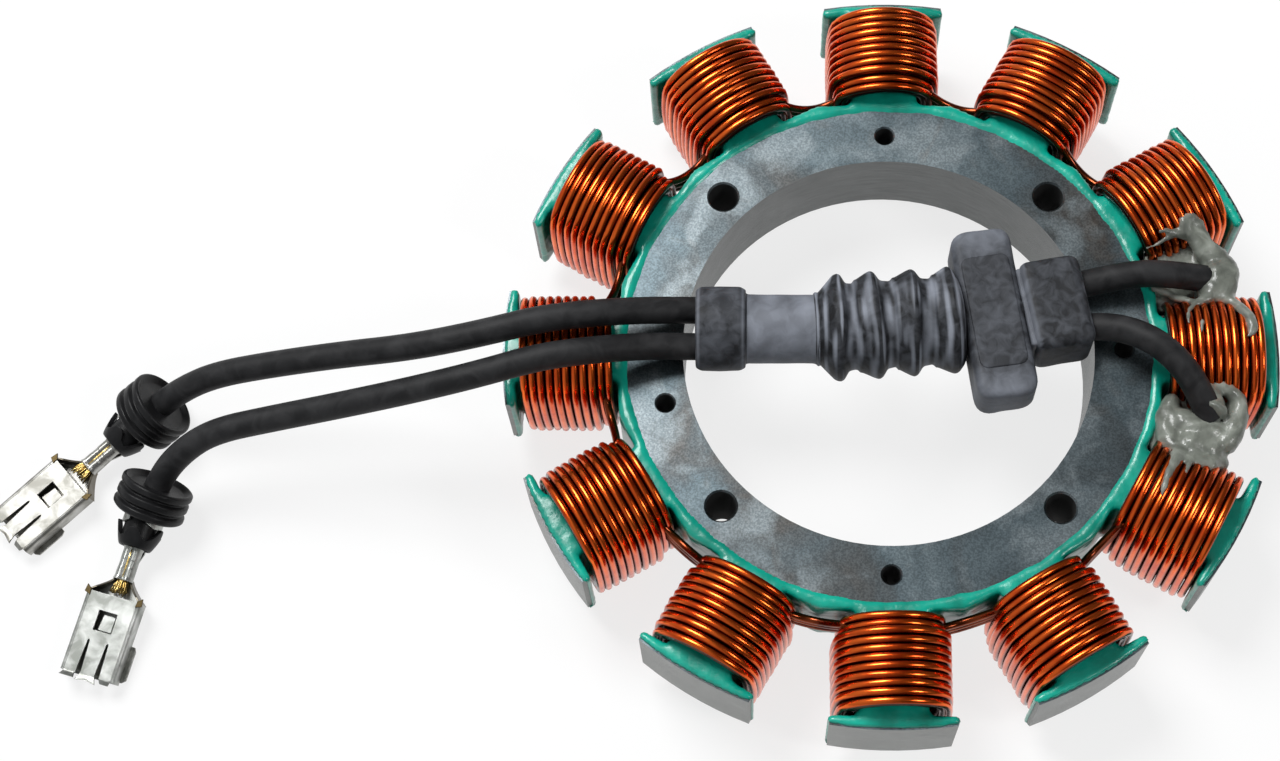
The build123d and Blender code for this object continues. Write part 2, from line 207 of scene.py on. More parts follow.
def mapRange(tree, value, low, high, first, last, **settings):
    inputs = {"Value": value, 1: low, 2: high, 3: first, 4: last}
    return result(tree, "ShaderNodeMapRange", inputs, **settings)


def partsOf(tree, vector):
    return addNode(tree, "ShaderNodeSeparateXYZ", {"Vector": vector}).outputs


def ownValue(tree, name):
    # a number that the mesh carries at each point
    return addNode(tree, "ShaderNodeAttribute", attribute_name=name).outputs["Fac"]


def ramp(tree, value, stops):
    node = addNode(tree, "ShaderNodeValToRGB", {"Fac": value})
    elements = node.color_ramp.elements
    while len(elements) < len(stops):
        elements.new(0.5)
    for element, (place, colour) in zip(elements, stops):
        element.position = place
        element.color = (*colour, 1) if isinstance(colour, tuple) else (colour, colour, colour, 1)
    return node.outputs["Color"]


def blendColours(tree, factor, first, second, mode="MIX"):
    node = tree.nodes.new("ShaderNodeMix")
    node.data_type = "RGBA"
    node.blend_type = mode
    for index, value in ((0, factor), (6, first), (7, second)):
        if isinstance(value, bpy.types.NodeSocket):
            tree.links.new(value, node.inputs[index])
        else:
            node.inputs[index].default_value = (*value, 1) if isinstance(value, tuple) else value
    return node.outputs[2]


def grain(tree, coords, scale, detail=3.0, stretch=(1, 1, 1), distortion=0.0):
    if stretch != (1, 1, 1):
        coords = result(tree, "ShaderNodeMapping", {"Vector": coords, "Scale": stretch})
    inputs = {"Vector": coords, "Scale": scale, "Detail": detail, "Distortion": distortion}
    return addNode(tree, "ShaderNodeTexNoise", inputs).outputs["Fac"]


def bump(tree, height, strength, distance, under=None):
    inputs = {"Height": height, "Strength": strength, "Distance": distance}
    if under is not None:
        inputs["Normal"] = under
    return result(tree, "ShaderNodeBump", inputs)


def newMaterial(name, **values):
    material = bpy.data.materials.new(name)
    material.use_nodes = True
    tree = material.node_tree
    shader = tree.nodes["Principled BSDF"]
    for key, value in values.items():
        shader.inputs[key.replace("_", " ")].default_value = value
    coords = addNode(tree, "ShaderNodeTexCoord").outputs["Object"]
    return material, tree, shader, coords


def feed(tree, shader, **sockets):
    for key, socket in sockets.items():
        tree.links.new(socket, shader.inputs[key.replace("_", " ")])


# bare steel: blue and brown mottling, fine speckle, painted shade in the holes, and sheet edges on the upright faces
steelLook = {
    "metal": 0.95,
    "sheet": 0.635 * mm,
    "rough": (0.27, 0.42),
    "wallRough": 0.9,
    "bore": 0.0365,
    "holes": (0.0368, 0.0437),
    "holeShade": (0.012, 0.012, 0.012),
    "seam": (0.10, 0.10, 0.10),
    "rust": (0.17, 0.115, 0.075),
    "smudge": (0.21, 0.245, 0.26),
}


def reachOf(tree, parts):
    # distance from the bore's axis
    squares = [calc(tree, "MULTIPLY", parts[key], parts[key]) for key in "XY"]
    return calc(tree, "SQRT", calc(tree, "ADD", *squares))


def makeSteel():
    material, tree, shader, coords = newMaterial("bareSteel")
    cloud = grain(tree, coords, 38, 5, distortion=1.2)
    patch = grain(tree, coords, 110, 4, distortion=0.6)
    speckle = grain(tree, coords, 3400, 2)
    stops = [
        (0.30, (0.092, 0.086, 0.080)),
        (0.42, (0.088, 0.098, 0.102)),
        (0.55, (0.105, 0.135, 0.150)),
        (0.70, (0.165, 0.205, 0.222)),
    ]
    tint = ramp(tree, cloud, stops)
    smudge = ramp(tree, patch, [(0.50, 0.0), (0.66, 0.75)])
    tint = blendColours(tree, smudge, tint, steelLook["smudge"])
    rust = ramp(tree, grain(tree, coords, 75, 4, distortion=1.6), [(0.60, 0.0), (0.74, 0.2)])
    tint = blendColours(tree, rust, tint, steelLook["rust"])
    dots = ramp(tree, speckle, [(0.40, 0.72), (0.62, 1.28)])
    tint = blendColours(tree, 0.8, tint, dots, "MULTIPLY")
    normal = addNode(tree, "ShaderNodeNewGeometry").outputs["True Normal"]
    upright = calc(tree, "LESS_THAN", calc(tree, "ABSOLUTE", partsOf(tree, normal)["Z"]), 0.5)
    parts = partsOf(tree, coords)
    wave = calc(tree, "SINE", calc(tree, "MULTIPLY", parts["Z"], 2 * math.pi / steelLook["sheet"]))
    seams = calc(tree, "POWER", calc(tree, "ABSOLUTE", wave), 0.35)
    wear = grain(tree, coords, 300, 3, stretch=(1, 1, 7))
    side = blendColours(tree, wear, (0.10, 0.105, 0.10), (0.30, 0.31, 0.30))
    boreSide = blendColours(tree, wear, (0.055, 0.060, 0.060), (0.17, 0.18, 0.178))
    reach = reachOf(tree, parts)
    side = blendColours(tree, calc(tree, "LESS_THAN", reach, steelLook["bore"]), side, boreSide)
    side = blendColours(tree, calc(tree, "SUBTRACT", 1, seams), side, steelLook["seam"])
    nearest, furthest = steelLook["holes"]
    past = calc(tree, "GREATER_THAN", reach, nearest)
    inHole = calc(tree, "MULTIPLY", past, calc(tree, "LESS_THAN", reach, furthest))
    # painted shade: the hole walls go almost black, and are made matt and not metallic so they stay dark
    side = blendColours(tree, inHole, side, steelLook["holeShade"])
    feed(tree, shader, Base_Color=blendColours(tree, upright, tint, side))
    wall = calc(tree, "MULTIPLY", inHole, upright)
    wallRough = calc(tree, "MULTIPLY", wall, steelLook["wallRough"])
    faceRough = mapRange(tree, patch, 0, 1, *steelLook["rough"])
    feed(tree, shader, Roughness=calc(tree, "MAXIMUM", faceRough, wallRough))
    feed(tree, shader, Metallic=calc(tree, "MULTIPLY_ADD", wall, -steelLook["metal"], steelLook["metal"]))
    fine = bump(tree, speckle, 0.22, 0.04 * mm)
    feed(tree, shader, Normal=bump(tree, calc(tree, "MULTIPLY", seams, upright), 0.5, 0.08 * mm, fine))
    return material


def makeCoat():
    surface = {"Roughness": 0.3, "Coat_Weight": 0.3, "Coat_Roughness": 0.1}
    material, tree, shader, coords = newMaterial("tealCoat", **surface)
    stops = [(0.3, (0.0, 0.22, 0.155)), (0.5, (0.001, 0.36, 0.26)), (0.72, (0.006, 0.49, 0.355))]
    feed(tree, shader, Base_Color=ramp(tree, grain(tree, coords, 160, 4), stops))
    lumps = grain(tree, coords, 420, 2)
    pits = grain(tree, coords, 1500, 2)
    feed(tree, shader, Normal=bump(tree, pits, 0.30, 0.12 * mm, bump(tree, lumps, 0.4, 0.45 * mm)))
    return material


def makeCopper(name, light, dark):
    surface = {"Metallic": 0.97, "Roughness": 0.23, "Coat_Weight": 0.18, "Coat_Roughness": 0.12}
    material, tree, shader, coords = newMaterial(name, **surface)
    tint = ramp(tree, grain(tree, coords, 230, 3), [(0.3, dark), (0.62, light)])
    # painted shade: where the wire faces the next turn its colour goes almost black
    tint = blendColours(tree, ownValue(tree, "gap"), tint, tuple(value * 0.10 for value in dark))
    feed(tree, shader, Base_Color=tint)
    feed(tree, shader, Normal=bump(tree, grain(tree, coords, 900, 2), 0.12, 0.1 * mm))
    return material


def makeRubber(name, base, dustAndSheen, rough, dustAmount, scale=260):
    material, tree, shader, coords = newMaterial(name, Specular_IOR_Level=0.24)
    cloud = grain(tree, coords, scale, 5, distortion=0.8)
    fine = grain(tree, coords, 3200, 2)
    amount = calc(tree, "MULTIPLY", ramp(tree, cloud, [(0.38, 0.0), (0.68, 1.0)]), dustAmount)
    # the mesh's mark adds real dust and, on the boot, painted highlights
    amount = calc(tree, "ADD", amount, ownValue(tree, "dustAndSheen"), clamp=True)
    feed(tree, shader, Base_Color=blendColours(tree, amount, base, dustAndSheen))
    feed(tree, shader, Roughness=mapRange(tree, cloud, 0, 1, *rough))
    feed(tree, shader, Normal=bump(tree, fine, 0.3, 0.06 * mm, bump(tree, cloud, 0.25, 0.3 * mm)))
    return material


def makeTin(name, dark, middle, light):
    material, tree, shader, coords = newMaterial(name, Metallic=1.0)
    cloud = grain(tree, coords, 330, 4, distortion=0.5)
    tint = ramp(tree, cloud, [(0.35, dark), (0.55, middle), (0.75, light)])
    tint = blendColours(tree, ownValue(tree, "stain"), tint, (0.085, 0.062, 0.028))
    feed(tree, shader, Base_Color=tint)
    feed(tree, shader, Roughness=mapRange(tree, cloud, 0, 1, 0.50, 0.32))
    feed(tree, shader, Normal=bump(tree, grain(tree, coords, 1600, 2), 0.12, 0.05 * mm))
    return material


def makeStrand():
    material, tree, shader, coords = newMaterial("brassStrand", Metallic=1.0, Roughness=0.3)
    stops = [(0.35, (0.42, 0.27, 0.06)), (0.65, (0.85, 0.66, 0.28))]
    feed(tree, shader, Base_Color=ramp(tree, grain(tree, coords, 1900, 2), stops))
    return material


def makeSealant():
    surface = {"Roughness": 0.32, "Coat_Weight": 0.25, "Subsurface_Weight": 0.05}
    surface["Subsurface_Radius"] = (0.4 * mm, 0.4 * mm, 0.4 * mm)
    material, tree, shader, coords = newMaterial("greySealant", **surface)
    stops = [(0.3, (0.10, 0.108, 0.092)), (0.52, (0.190, 0.204, 0.176)), (0.72, (0.32, 0.34, 0.30))]
    feed(tree, shader, Base_Color=ramp(tree, grain(tree, coords, 240, 4, distortion=1.0), stops))
    feed(tree, shader, Normal=bump(tree, grain(tree, coords, 700, 3, distortion=1.2), 0.35, 0.35 * mm))
    return material


looks = {
    "steel": makeSteel(),
    "coat": makeCoat(),
    "copper": makeCopper("enamelledCopper", (1.0, 0.165, 0.019), (0.74, 0.070, 0.006)),
    # a darker copy of the copper: painted shade for the inner turns and the wires in the slots
    "core": makeCopper("innerTurnsPaintedShade", (0.22, 0.04, 0.008), (0.08, 0.012, 0.003)),
    "lead": makeRubber("leadRubber", (0.011, 0.011, 0.012), (0.045, 0.045, 0.047), (0.5, 0.66), 0.5),
    "boot": makeRubber("bootRubber", (0.009, 0.0095, 0.011), (0.26, 0.28, 0.325), (0.46, 0.68), 0.2, 420),
    "seal": makeRubber("sealRubber", (0.006, 0.006, 0.0065), (0.022, 0.022, 0.024), (0.34, 0.5), 0.4),
    "tin": makeTin("tinSheet", (0.25, 0.245, 0.22), (0.43, 0.425, 0.40), (0.56, 0.56, 0.54)),
    # a slightly lighter copy of the tin, for terminal 2
    "lighterTin": makeTin("lighterTinSheet", (0.25, 0.26, 0.24), (0.44, 0.45, 0.43), (0.62, 0.63, 0.61)),
    "strand": makeStrand(),
    "sealant": makeSealant(),
}
print("materials made:", len(looks))


# mesh helpers
def finishPiece(piece, slotName, node):
    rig.replaces(piece, node)
    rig.slot(piece, slotName)
    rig.ride(piece, "root")
    return piece


def pieceFrom(name, mesh, material, slotName, node):
    mesh.materials.clear()
    mesh.materials.append(looks[material])
    return finishPiece(newObject(name, mesh), slotName, node)


def roundCorners(points, radius, steps=4, closed=False):
    corners = [Vector(point) for point in points]
    made = []
    for index, corner in enumerate(corners):
        if not closed and index in (0, len(corners) - 1):
            made.append(corner)
            continue
        before = corners[index - 1] - corner
        after = corners[(index + 1) % len(corners)] - corner
        reach = min(radius, before.length * 0.45, after.length * 0.45)
        start = corner + before.normalized() * reach
        end = corner + after.normalized() * reach
        for step in range(steps + 1):
            share = step / steps
            made.append(start * (1 - share) ** 2 + corner * 2 * share * (1 - share) + end * share**2)
    return made


def fillIn(points, longest):
    made = [points[0]]
    for before, after in zip(points, points[1:]):
        count = max(1, math.ceil((after - before).length / longest))
        made.extend(before.lerp(after, step / count) for step in range(1, count + 1))
    return made


def rectangle(left, right, low, high):
    return [(left, low), (right, low), (right, high), (left, high)]


def onCircle(radius, turn):
    return radius * math.cos(turn), radius * math.sin(turn)


def degreesFromTop(turn):
    return abs(math.degrees(math.atan2(math.cos(turn), math.sin(turn))))


def noiseRound(along, turn, size, shift=0):
    # noise that closes up round an axis
    return noise.noise(Vector((along, math.cos(turn) * size + shift, math.sin(turn) * size)))


def joinRings(builder, rings, caps=False):
    # skins neighbouring rings of points; a ring of one point closes to a tip
    for lower, upper in zip(rings, rings[1:]):
        count = max(len(lower), len(upper))
        for step in range(count):
            following = (step + 1) % count
            if len(lower) == 1:
                corners = (lower[0], upper[following], upper[step])
            elif len(upper) == 1:
                corners = (lower[step], lower[following], upper[0])
            else:
                corners = (lower[step], lower[following], upper[following], upper[step])
            builder.faces.new(corners)
    if caps:
        builder.faces.new(rings[0])
        builder.faces.new(rings[-1])


def softProfile(profile, radius, longest, steps=4):
    # an (along, radius) profile with rounded corners, in steps no longer than stated
    points = fillIn(roundCorners([(along, reach, 0) for along, reach in profile], radius, steps), longest)
    return [(point.x, max(point.y, 0)) for point in points]


def latheMesh(builder, profile, place, segments=72, shape=None, dustAndSheenOf=None):
    # profile: (along, radius) from axis to axis; place puts its X axis in the model
    rings = []
    dustAndSheen = builder.verts.layers.float.get("dustAndSheen") or builder.verts.layers.float.new("dustAndSheen")
    for along, radius in profile:
        if radius < 1e-6:
            rings.append([builder.verts.new(place @ Vector((along, 0, 0)))])
            continue
        ring = []
        for step in range(segments):
            turn = 2 * math.pi * step / segments
            point = Vector((along, *onCircle(radius, turn)))
            if shape:
                point = shape(point, turn)
            vertex = builder.verts.new(place @ point)
            if dustAndSheenOf:
                vertex[dustAndSheen] = dustAndSheenOf(along, radius, turn)
            ring.append(vertex)
        rings.append(ring)
    joinRings(builder, rings)


def shellMesh(builder, place, pairs, around=False, layer=None, amount=0.0):
    # a closed wall between an outer and an inner grid, given as pairs of rows; around joins its two sides
    grids = []
    for grid in zip(*pairs):
        rows = [[builder.verts.new(place @ Vector(point)) for point in row] for row in grid]
        if layer is not None:
            for vertex in sum(rows, []):
                vertex[layer] = amount
        grids.append(rows)
    outer, inner = grids
    count = len(outer[0])
    for step in range(count if around else count - 1):
        following = (step + 1) % count
        for row in range(len(outer) - 1):
            low, high = outer[row], outer[row + 1]
            builder.faces.new((low[step], low[following], high[following], high[step]))
            low, high = inner[row], inner[row + 1]
            builder.faces.new((low[step], high[step], high[following], low[following]))
        for row in (0, -1):
            wall, lining = outer[row], inner[row]
            builder.faces.new((wall[step], lining[step], lining[following], wall[following]))
    if not around:
        for column in (0, -1):
            for row in range(len(outer) - 1):
                wall = (outer[row][column], outer[row + 1][column])
                builder.faces.new((*wall, inner[row + 1][column], inner[row][column]))


def plateMesh(builder, place, outline, low, high, layer, amount):
    # a flat plate: an outline in X and Y between two heights
    rings = [[builder.verts.new(place @ Vector((x, y, z))) for x, y in outline] for z in (low, high)]
    for vertex in rings[0] + rings[1]:
        vertex[layer] = amount
    for ring in rings:
        builder.faces.new(ring)
    joinRings(builder, rings)


def tubeMesh(builder, points, radii, sides=8):
    # a round tube through points, with its own radius at each
    rings = []
    for index, point in enumerate(points):
        before = points[max(index - 1, 0)]
        after = points[min(index + 1, len(points) - 1)]
        matrix = alongMatrix(point, after - before)
        ring = []
        for step in range(sides):
            turn = 2 * math.pi * step / sides
            offset = Vector((0, math.cos(turn), math.sin(turn))) * radii[index]
            ring.append(builder.verts.new(matrix @ offset))
        rings.append(ring)
    joinRings(builder, rings, caps=True)


def meshDone(builder, name, smooth=True):
    bmesh.ops.recalc_face_normals(builder, faces=builder.faces)
    for face in builder.faces:
        face.smooth = smooth
    mesh = bpy.data.meshes.new(name)
    builder.to_mesh(mesh)
    builder.free()
    return mesh


def evaluatedMesh(temporary):
    bpy.context.view_layer.update()
    graph = bpy.context.evaluated_depsgraph_get()
    mesh = bpy.data.meshes.new_from_object(temporary.evaluated_get(graph))
    bpy.data.objects.remove(temporary)
    return mesh


def withModifiers(mesh, *modifiers):
    temporary = newObject("temporary", mesh)
    for kind, values in modifiers:
        modifier = temporary.modifiers.new(kind, kind)
        for key, value in values.items():
            setattr(modifier, key, value)
    return evaluatedMesh(temporary)


def bevelled(mesh, width, degrees):
    limit = math.radians(degrees)
    values = {"width": width * mm, "segments": 2, "limit_method": "ANGLE", "angle_limit": limit}
    return withModifiers(mesh, ("BEVEL", values))


def oneSkin(mesh, voxel, factor, iterations):
    # one smooth skin over everything in the mesh
    remesh = {"mode": "VOXEL", "voxel_size": voxel * mm, "use_smooth_shade": True}
    return withModifiers(mesh, ("REMESH", remesh), ("SMOOTH", {"factor": factor, "iterations": iterations}))


def alongMatrix(point, direction):
    forward = Vector(direction).normalized()
    across = Vector((0, 0, 1)).cross(forward).normalized()
    up = forward.cross(across)
    matrix = Matrix((forward, across, up)).transposed().to_4x4()
    matrix.translation = Vector(point)
    return matrix


# the two cords: the route's points of the source, in mm
leadValues = {"diameter": 4.7 * mm, "lengths": (0.204, 0.212)}
leadPoints = (
    [
        (54.98, 12.35, 24.0), (49.0, 12.0, 27.0), (42.15, 12.06, 27.4), (33.46, 10.65, 25.7),
        (24.0, 8.6, 25.4), (10.0, 7.1, 25.4), (-6.0, 6.0, 25.4), (-20.0, 5.75, 25.4),
        (-32.5, 5.75, 25.6), (-41.0, 4.9, 27.9), (-49.5, 3.1, 31.3), (-59.5, 1.8, 31.7),
        (-70.0, -0.7, 30.9), (-82.0, -2.0, 27.8), (-95.0, -1.75, 23.3), (-108.0, -2.1, 19.2),
        (-118.0, -2.95, 16.4), (-124.6, -4.1, 12.2), (-130.3, -6.0, 7.3), (-134.4, -8.75, 5.1),
        (-138.3, -12.3, 4.6),
    ],
    [
        (53.9, -12.6, 23.9), (51.4, -8.4, 28.5), (45.9, -2.4, 30.6), (39.9, 1.4, 28.8),
        (34.1, 2.75, 26.3), (24.0, 1.5, 25.4), (10.0, 0.3, 25.4), (-6.0, -0.75, 25.4),
        (-20.0, -1.0, 25.4), (-32.5, -0.95, 25.6), (-41.0, -1.7, 27.8), (-49.5, -3.5, 31.1),
        (-59.5, -5.0, 31.4), (-70.0, -7.9, 30.5), (-82.0, -9.8, 27.4), (-95.0, -11.0, 22.9),
        (-107.5, -12.15, 19.0), (-117.0, -13.4, 16.6), (-122.6, -15.8, 14.3), (-127.5, -19.0, 9.9),
        (-130.9, -24.75, 5.4), (-132.8, -31.55, 4.75),
    ],
)


def makeLead(number, points):
    curve = bpy.data.curves.new(f"lead{number}", "CURVE")
    curve.dimensions = "3D"
    curve.bevel_depth = leadValues["diameter"] / 2
    curve.bevel_resolution = 7
    curve.resolution_u = 12
    curve.use_fill_caps = True
    spline = curve.splines.new("NURBS")
    spline.points.add(len(points) - 1)
    for target, point in zip(spline.points, points):
        target.co = (*(Vector(point) * mm), 1)
    spline.order_u = 3
    spline.use_endpoint_u = True
    curve.materials.append(looks["lead"])
    return finishPiece(newObject(f"rubberLead{number}", curve), "cord_rubber", f"lead_{number}")


def routeOf(lead):
    # the lead's own line as points, for the pieces that sit on it
    plain = lead.data.copy()
    plain.bevel_depth = 0
    return [vertex.co.copy() for vertex in evaluatedMesh(newObject("routeLine", plain)).vertices]


leads = [makeLead(number, points) for number, points in enumerate(leadPoints, start=1)]
routes = [routeOf(lead) for lead in leads]
print("leads laid:", [round(sum((b - a).length for a, b in zip(r, r[1:])), 4) for r in routes])


# coils: turns of wire wound round each pole by a node tree, over inner turns in a darker copy of the copper that
# paints their shade
coilValues = {
    "Start": 47.5 * mm,
    "Pitch": 1.455 * mm,
    "Turns": 11.0,
    "Half Width": 9.5 * mm,
    "Half Height": 13.5 * mm,
    "Straight": 5.6 * mm,
    "Wire Radius": 0.72 * mm,
    "Mid Height": 14.25 * mm,
    "Low Turns": 1.9,
    "Low Drop": 0.9 * mm,
    "Wobble": 0.16 * mm,
}


def coilLayer(tree, source, shift, points, sides, seedShift):
    # one layer of turns, begun at the bottom: position from how far along the wire a point is
    one = result(tree, "GeometryNodeCurvePrimitiveLine", {"Start": (0, 0, 0), "End": (1, 0, 0)})
    turns = source["Turns"]
    count = calc(tree, "MULTIPLY", turns, points)
    line = result(tree, "GeometryNodeResampleCurve", {"Curve": one, "Count": count})
    share = addNode(tree, "GeometryNodeSplineParameter").outputs["Factor"]
    turn = calc(tree, "MULTIPLY", share, turns)
    angle = calc(tree, "MULTIPLY_ADD", turn, 2 * math.pi, -math.pi / 2)
    seedOffset = calc(tree, "MULTIPLY_ADD", source["Seed"], 7.31, seedShift)
    smooth = {"interpolation_type": "SMOOTHSTEP"}

    def wander(speed, offset, scale):
        place = calc(tree, "MULTIPLY_ADD", turn, speed, calc(tree, "ADD", seedOffset, offset))
        inputs = {"W": place, "Scale": 1.0, "Detail": 1.0}
        texture = result(tree, "ShaderNodeTexNoise", inputs, noise_dimensions="1D")
        size = calc(tree, "MULTIPLY", source["Wobble"], scale)
        return calc(tree, "MULTIPLY", calc(tree, "SUBTRACT", texture, 0.5), size)

    def turned(vector, angle):
        inputs = {"Vector": vector, "Angle": angle}
        return result(tree, "ShaderNodeVectorRotate", inputs, rotation_type="Z_AXIS")

    def stored(geometry, name, value, kind):
        inputs = {"Geometry": geometry, "Name": name, "Value": value}
        return result(tree, "GeometryNodeStoreNamedAttribute", inputs, data_type=kind, domain="POINT")

    lowStart = calc(tree, "SUBTRACT", source["Low Turns"], 0.25)
    low = mapRange(tree, turn, lowStart, source["Low Turns"], -1.0, 0.0, **smooth)
    last = mapRange(tree, calc(tree, "SUBTRACT", turns, turn), 0.0, 0.9, -0.6, 0.0, **smooth)
    drop = calc(tree, "MULTIPLY", calc(tree, "ADD", low, last), source["Low Drop"])
    change = calc(tree, "ADD", calc(tree, "ADD", drop, shift), wander(1.7, 0.0, 2.2))
    halfWidth = calc(tree, "ADD", source["Half Width"], change)
    arch = calc(tree, "ADD", calc(tree, "SUBTRACT", source["Half Height"], source["Straight"]), change)
    sine = calc(tree, "SINE", angle)
    tripled = calc(tree, "MULTIPLY", sine, 3.0)
    upper = result(tree, "ShaderNodeClamp", {"Value": tripled, "Min": -1.0, "Max": 1.0})
    height = calc(tree, "MULTIPLY_ADD", arch, sine, calc(tree, "MULTIPLY", source["Straight"], upper))
    across = calc(tree, "MULTIPLY", halfWidth, calc(tree, "COSINE", angle))
    along = calc(tree, "MULTIPLY_ADD", turn, source["Pitch"], source["Start"])
    along = calc(tree, "ADD", along, wander(2.3, 40.0, 2.6))
    lowest = calc(tree, "ADD", source["Wire Radius"], 0.04 * mm)
    height = calc(tree, "MAXIMUM", calc(tree, "ADD", height, source["Mid Height"]), lowest)
    flat = result(tree, "ShaderNodeCombineXYZ", {0: along, 1: across, 2: height})
    place = turned(flat, source["Pole Angle"])
    bent = result(tree, "GeometryNodeSetPosition", {"Geometry": line, "Position": place})
    position = result(tree, "GeometryNodeInputPosition")
    keep = stored(bent, "wireMiddle", position, "FLOAT_VECTOR")
    inputs = {"Resolution": sides, "Radius": source["Wire Radius"]}
    section = result(tree, "GeometryNodeCurvePrimitiveCircle", inputs)
    inputs = {"Curve": keep, "Profile Curve": section, "Fill Caps": True}
    wire = result(tree, "GeometryNodeCurveToMesh", inputs)

    # how far each point of the wire's skin faces the next turn, which the copper takes as painted shade between the
    # turns
    inputs = {"Name": "wireMiddle"}
    middle = result(tree, "GeometryNodeInputNamedAttribute", inputs, data_type="FLOAT_VECTOR")
    offset = result(tree, "ShaderNodeVectorMath", {0: position, 1: middle}, operation="SUBTRACT")
    local = turned(offset, calc(tree, "MULTIPLY", source["Pole Angle"], -1.0))
    sideways = calc(tree, "ABSOLUTE", partsOf(tree, local)["X"])
    share = calc(tree, "DIVIDE", sideways, source["Wire Radius"])
    return stored(wire, "gap", mapRange(tree, share, 0.42, 0.92, 0.0, 1.0, **smooth), "FLOAT")


def newTree(name, sockets):
    tree = bpy.data.node_groups.new(name, "GeometryNodeTree")
    tree.interface.new_socket("Geometry", in_out="INPUT", socket_type="NodeSocketGeometry")
    for key, kind, value in sockets:
        tree.interface.new_socket(key, in_out="INPUT", socket_type=kind).default_value = value
    tree.interface.new_socket("Geometry", in_out="OUTPUT", socket_type="NodeSocketGeometry")
    return tree, tree.nodes.new("NodeGroupInput").outputs, tree.nodes.new("NodeGroupOutput")


def runTree(tree, values):
    # values by the inputs' names; gives the finished mesh
    temporary = newObject("treeRun", bpy.data.meshes.new("treeRun"))
    modifier = temporary.modifiers.new("tree", "NODES")
    modifier.node_group = tree
    for item in tree.interface.items_tree:
        if item.in_out == "INPUT" and item.name in values:
            modifier[item.identifier] = values[item.name]
    return evaluatedMesh(temporary)


coilTree, coilInputs, coilEnd = newTree(
    "coilTurns",
    [(key, "NodeSocketFloat", value) for key, value in coilValues.items()]
    + [("Pole Angle", "NodeSocketFloat", 0.0), ("Seed", "NodeSocketInt", 1)]
    + [("Wire", "NodeSocketMaterial", looks["copper"]), ("Inner", "NodeSocketMaterial", looks["core"])],
)
coilJoin = addNode(coilTree, "GeometryNodeJoinGeometry")
for isOuter, layer in ((True, (0.0, 44, 10, 3.0)), (False, (-1.15 * mm, 30, 7, 11.0))):
    inputs = {"Geometry": coilLayer(coilTree, coilInputs, *layer), "Name": "outer", "Value": isOuter}
    settings = {"data_type": "BOOLEAN", "domain": "FACE"}
    marked = result(coilTree, "GeometryNodeStoreNamedAttribute", inputs, **settings)
    coilTree.links.new(marked, coilJoin.inputs[0])
coilSmooth = result(coilTree, "GeometryNodeSetShadeSmooth", {"Geometry": coilJoin.outputs[0]})
coilReal = result(coilTree, "GeometryNodeRealizeInstances", {"Geometry": coilSmooth})
inputs = {"Geometry": coilReal, "Material": coilInputs["Inner"]}
coilInner = result(coilTree, "GeometryNodeSetMaterial", inputs)
outerFaces = result(coilTree, "GeometryNodeInputNamedAttribute", {"Name": "outer"}, data_type="BOOLEAN")
inputs = {"Geometry": coilInner, "Selection": outerFaces, "Material": coilInputs["Wire"]}
coilTree.links.new(result(coilTree, "GeometryNodeSetMaterial", inputs), coilEnd.inputs[0])


def makeCoils():
    for number in range(1, 13):
        values = {"Pole Angle": math.radians(30 * (number - 1)), "Seed": number}
        piece = newObject(f"coil{number:02d}", runTree(coilTree, values))
        finishPiece(piece, "enamelled_copper", f"winding_{number:02d}")


makeCoils()
print("coils wound")


# boot: collar, tube and bellows are turned shapes, the bar and the block are rounded slabs
bootValues = {
    "height": 25.4,
    "collarPlace": (-33.1, 2.4),
    "collarRadius": 7.2,
    "collarLength": 8.6,
    "tubeRadius": 6.1,
    "bellowsPlace": (-12.1, 2.4),
    "bellowsTurn": 4.3,
    "foldPitch": 6.6,
    "foldRadius": 9.25,
    "valleyRadius": 7.55,
    "barPlace": (17.7, 4.05),
    "barTurn": 8.6,
    "barSize": (10.4, 30.8, 9.6),
    "blockPlace": (28.4, 5.7),
    "blockTurn": 10.0,
    "blockSize": (10.4, 16.2, 11.5),
    "panelSize": (8.3, 20.4, 1.4),
    "panelSink": 0.5,
    "lipSize": (1.2, 14.2, 9.6),
    "lipPlace": (-5.2, 0, 0),
    "neckEnds": (-10.5, 8.5),
    "neckRadius": 4.6,
}


def flatMatrix(place, angle):
    matrix = Matrix.Rotation(math.radians(angle), 4, "Z")
    matrix.translation = (*place, bootValues["height"])
    return matrix


def slabMesh(builder, size, corner, edge, place, dustAndSheenOf, low=0.0):
    # rounded slab about its middle: rings of the outline from the bottom to the top, then closed inwards
    length, width, thickness = size
    dustAndSheen = builder.verts.layers.float.get("dustAndSheen") or builder.verts.layers.float.new("dustAndSheen")
    halfLength, halfWidth = length / 2, width / 2
    corners = [(x, y, 0) for x, y in rectangle(-halfLength, halfLength, -halfWidth, halfWidth)]
    outline = roundCorners(corners, corner * 1.4, 6, closed=True)
    outline = fillIn(outline + [outline[0]], 0.8)[:-1]
    turns = [math.pi / 2 * step / 5 for step in range(6)]
    lower = [(edge * (1 - math.sin(turn)), -thickness / 2 + edge * (1 - math.cos(turn))) for turn in turns]
    middle = [(0.0, -thickness / 2 + edge + (thickness - 2 * edge) * step / 8) for step in range(1, 8)]
    upper = [(inset, -height) for inset, height in reversed(lower)]
    shares = (0.8, 0.6, 0.4, 0.2)
    levels = [(inset, 1.0, height) for inset, height in lower + middle + upper]
    bottomCap = [(edge, share, -thickness / 2) for share in reversed(shares)]
    topCap = [(edge, share, thickness / 2) for share in shares]
    rings = []
    for inset, share, height in bottomCap + levels + topCap:
        ring = []
        for point in outline:
            across = point.x * (1 - inset / halfLength) * share
            along = point.y * (1 - inset / halfWidth) * share
            local = Vector((across, along, height + low))
            local *= 1 + 0.012 * noise.noise(local * 0.3)
            vertex = builder.verts.new(place @ local)
            vertex[dustAndSheen] = dustAndSheenOf(local)
            ring.append(vertex)
        rings.append(ring)
    joinRings(builder, rings, caps=True)


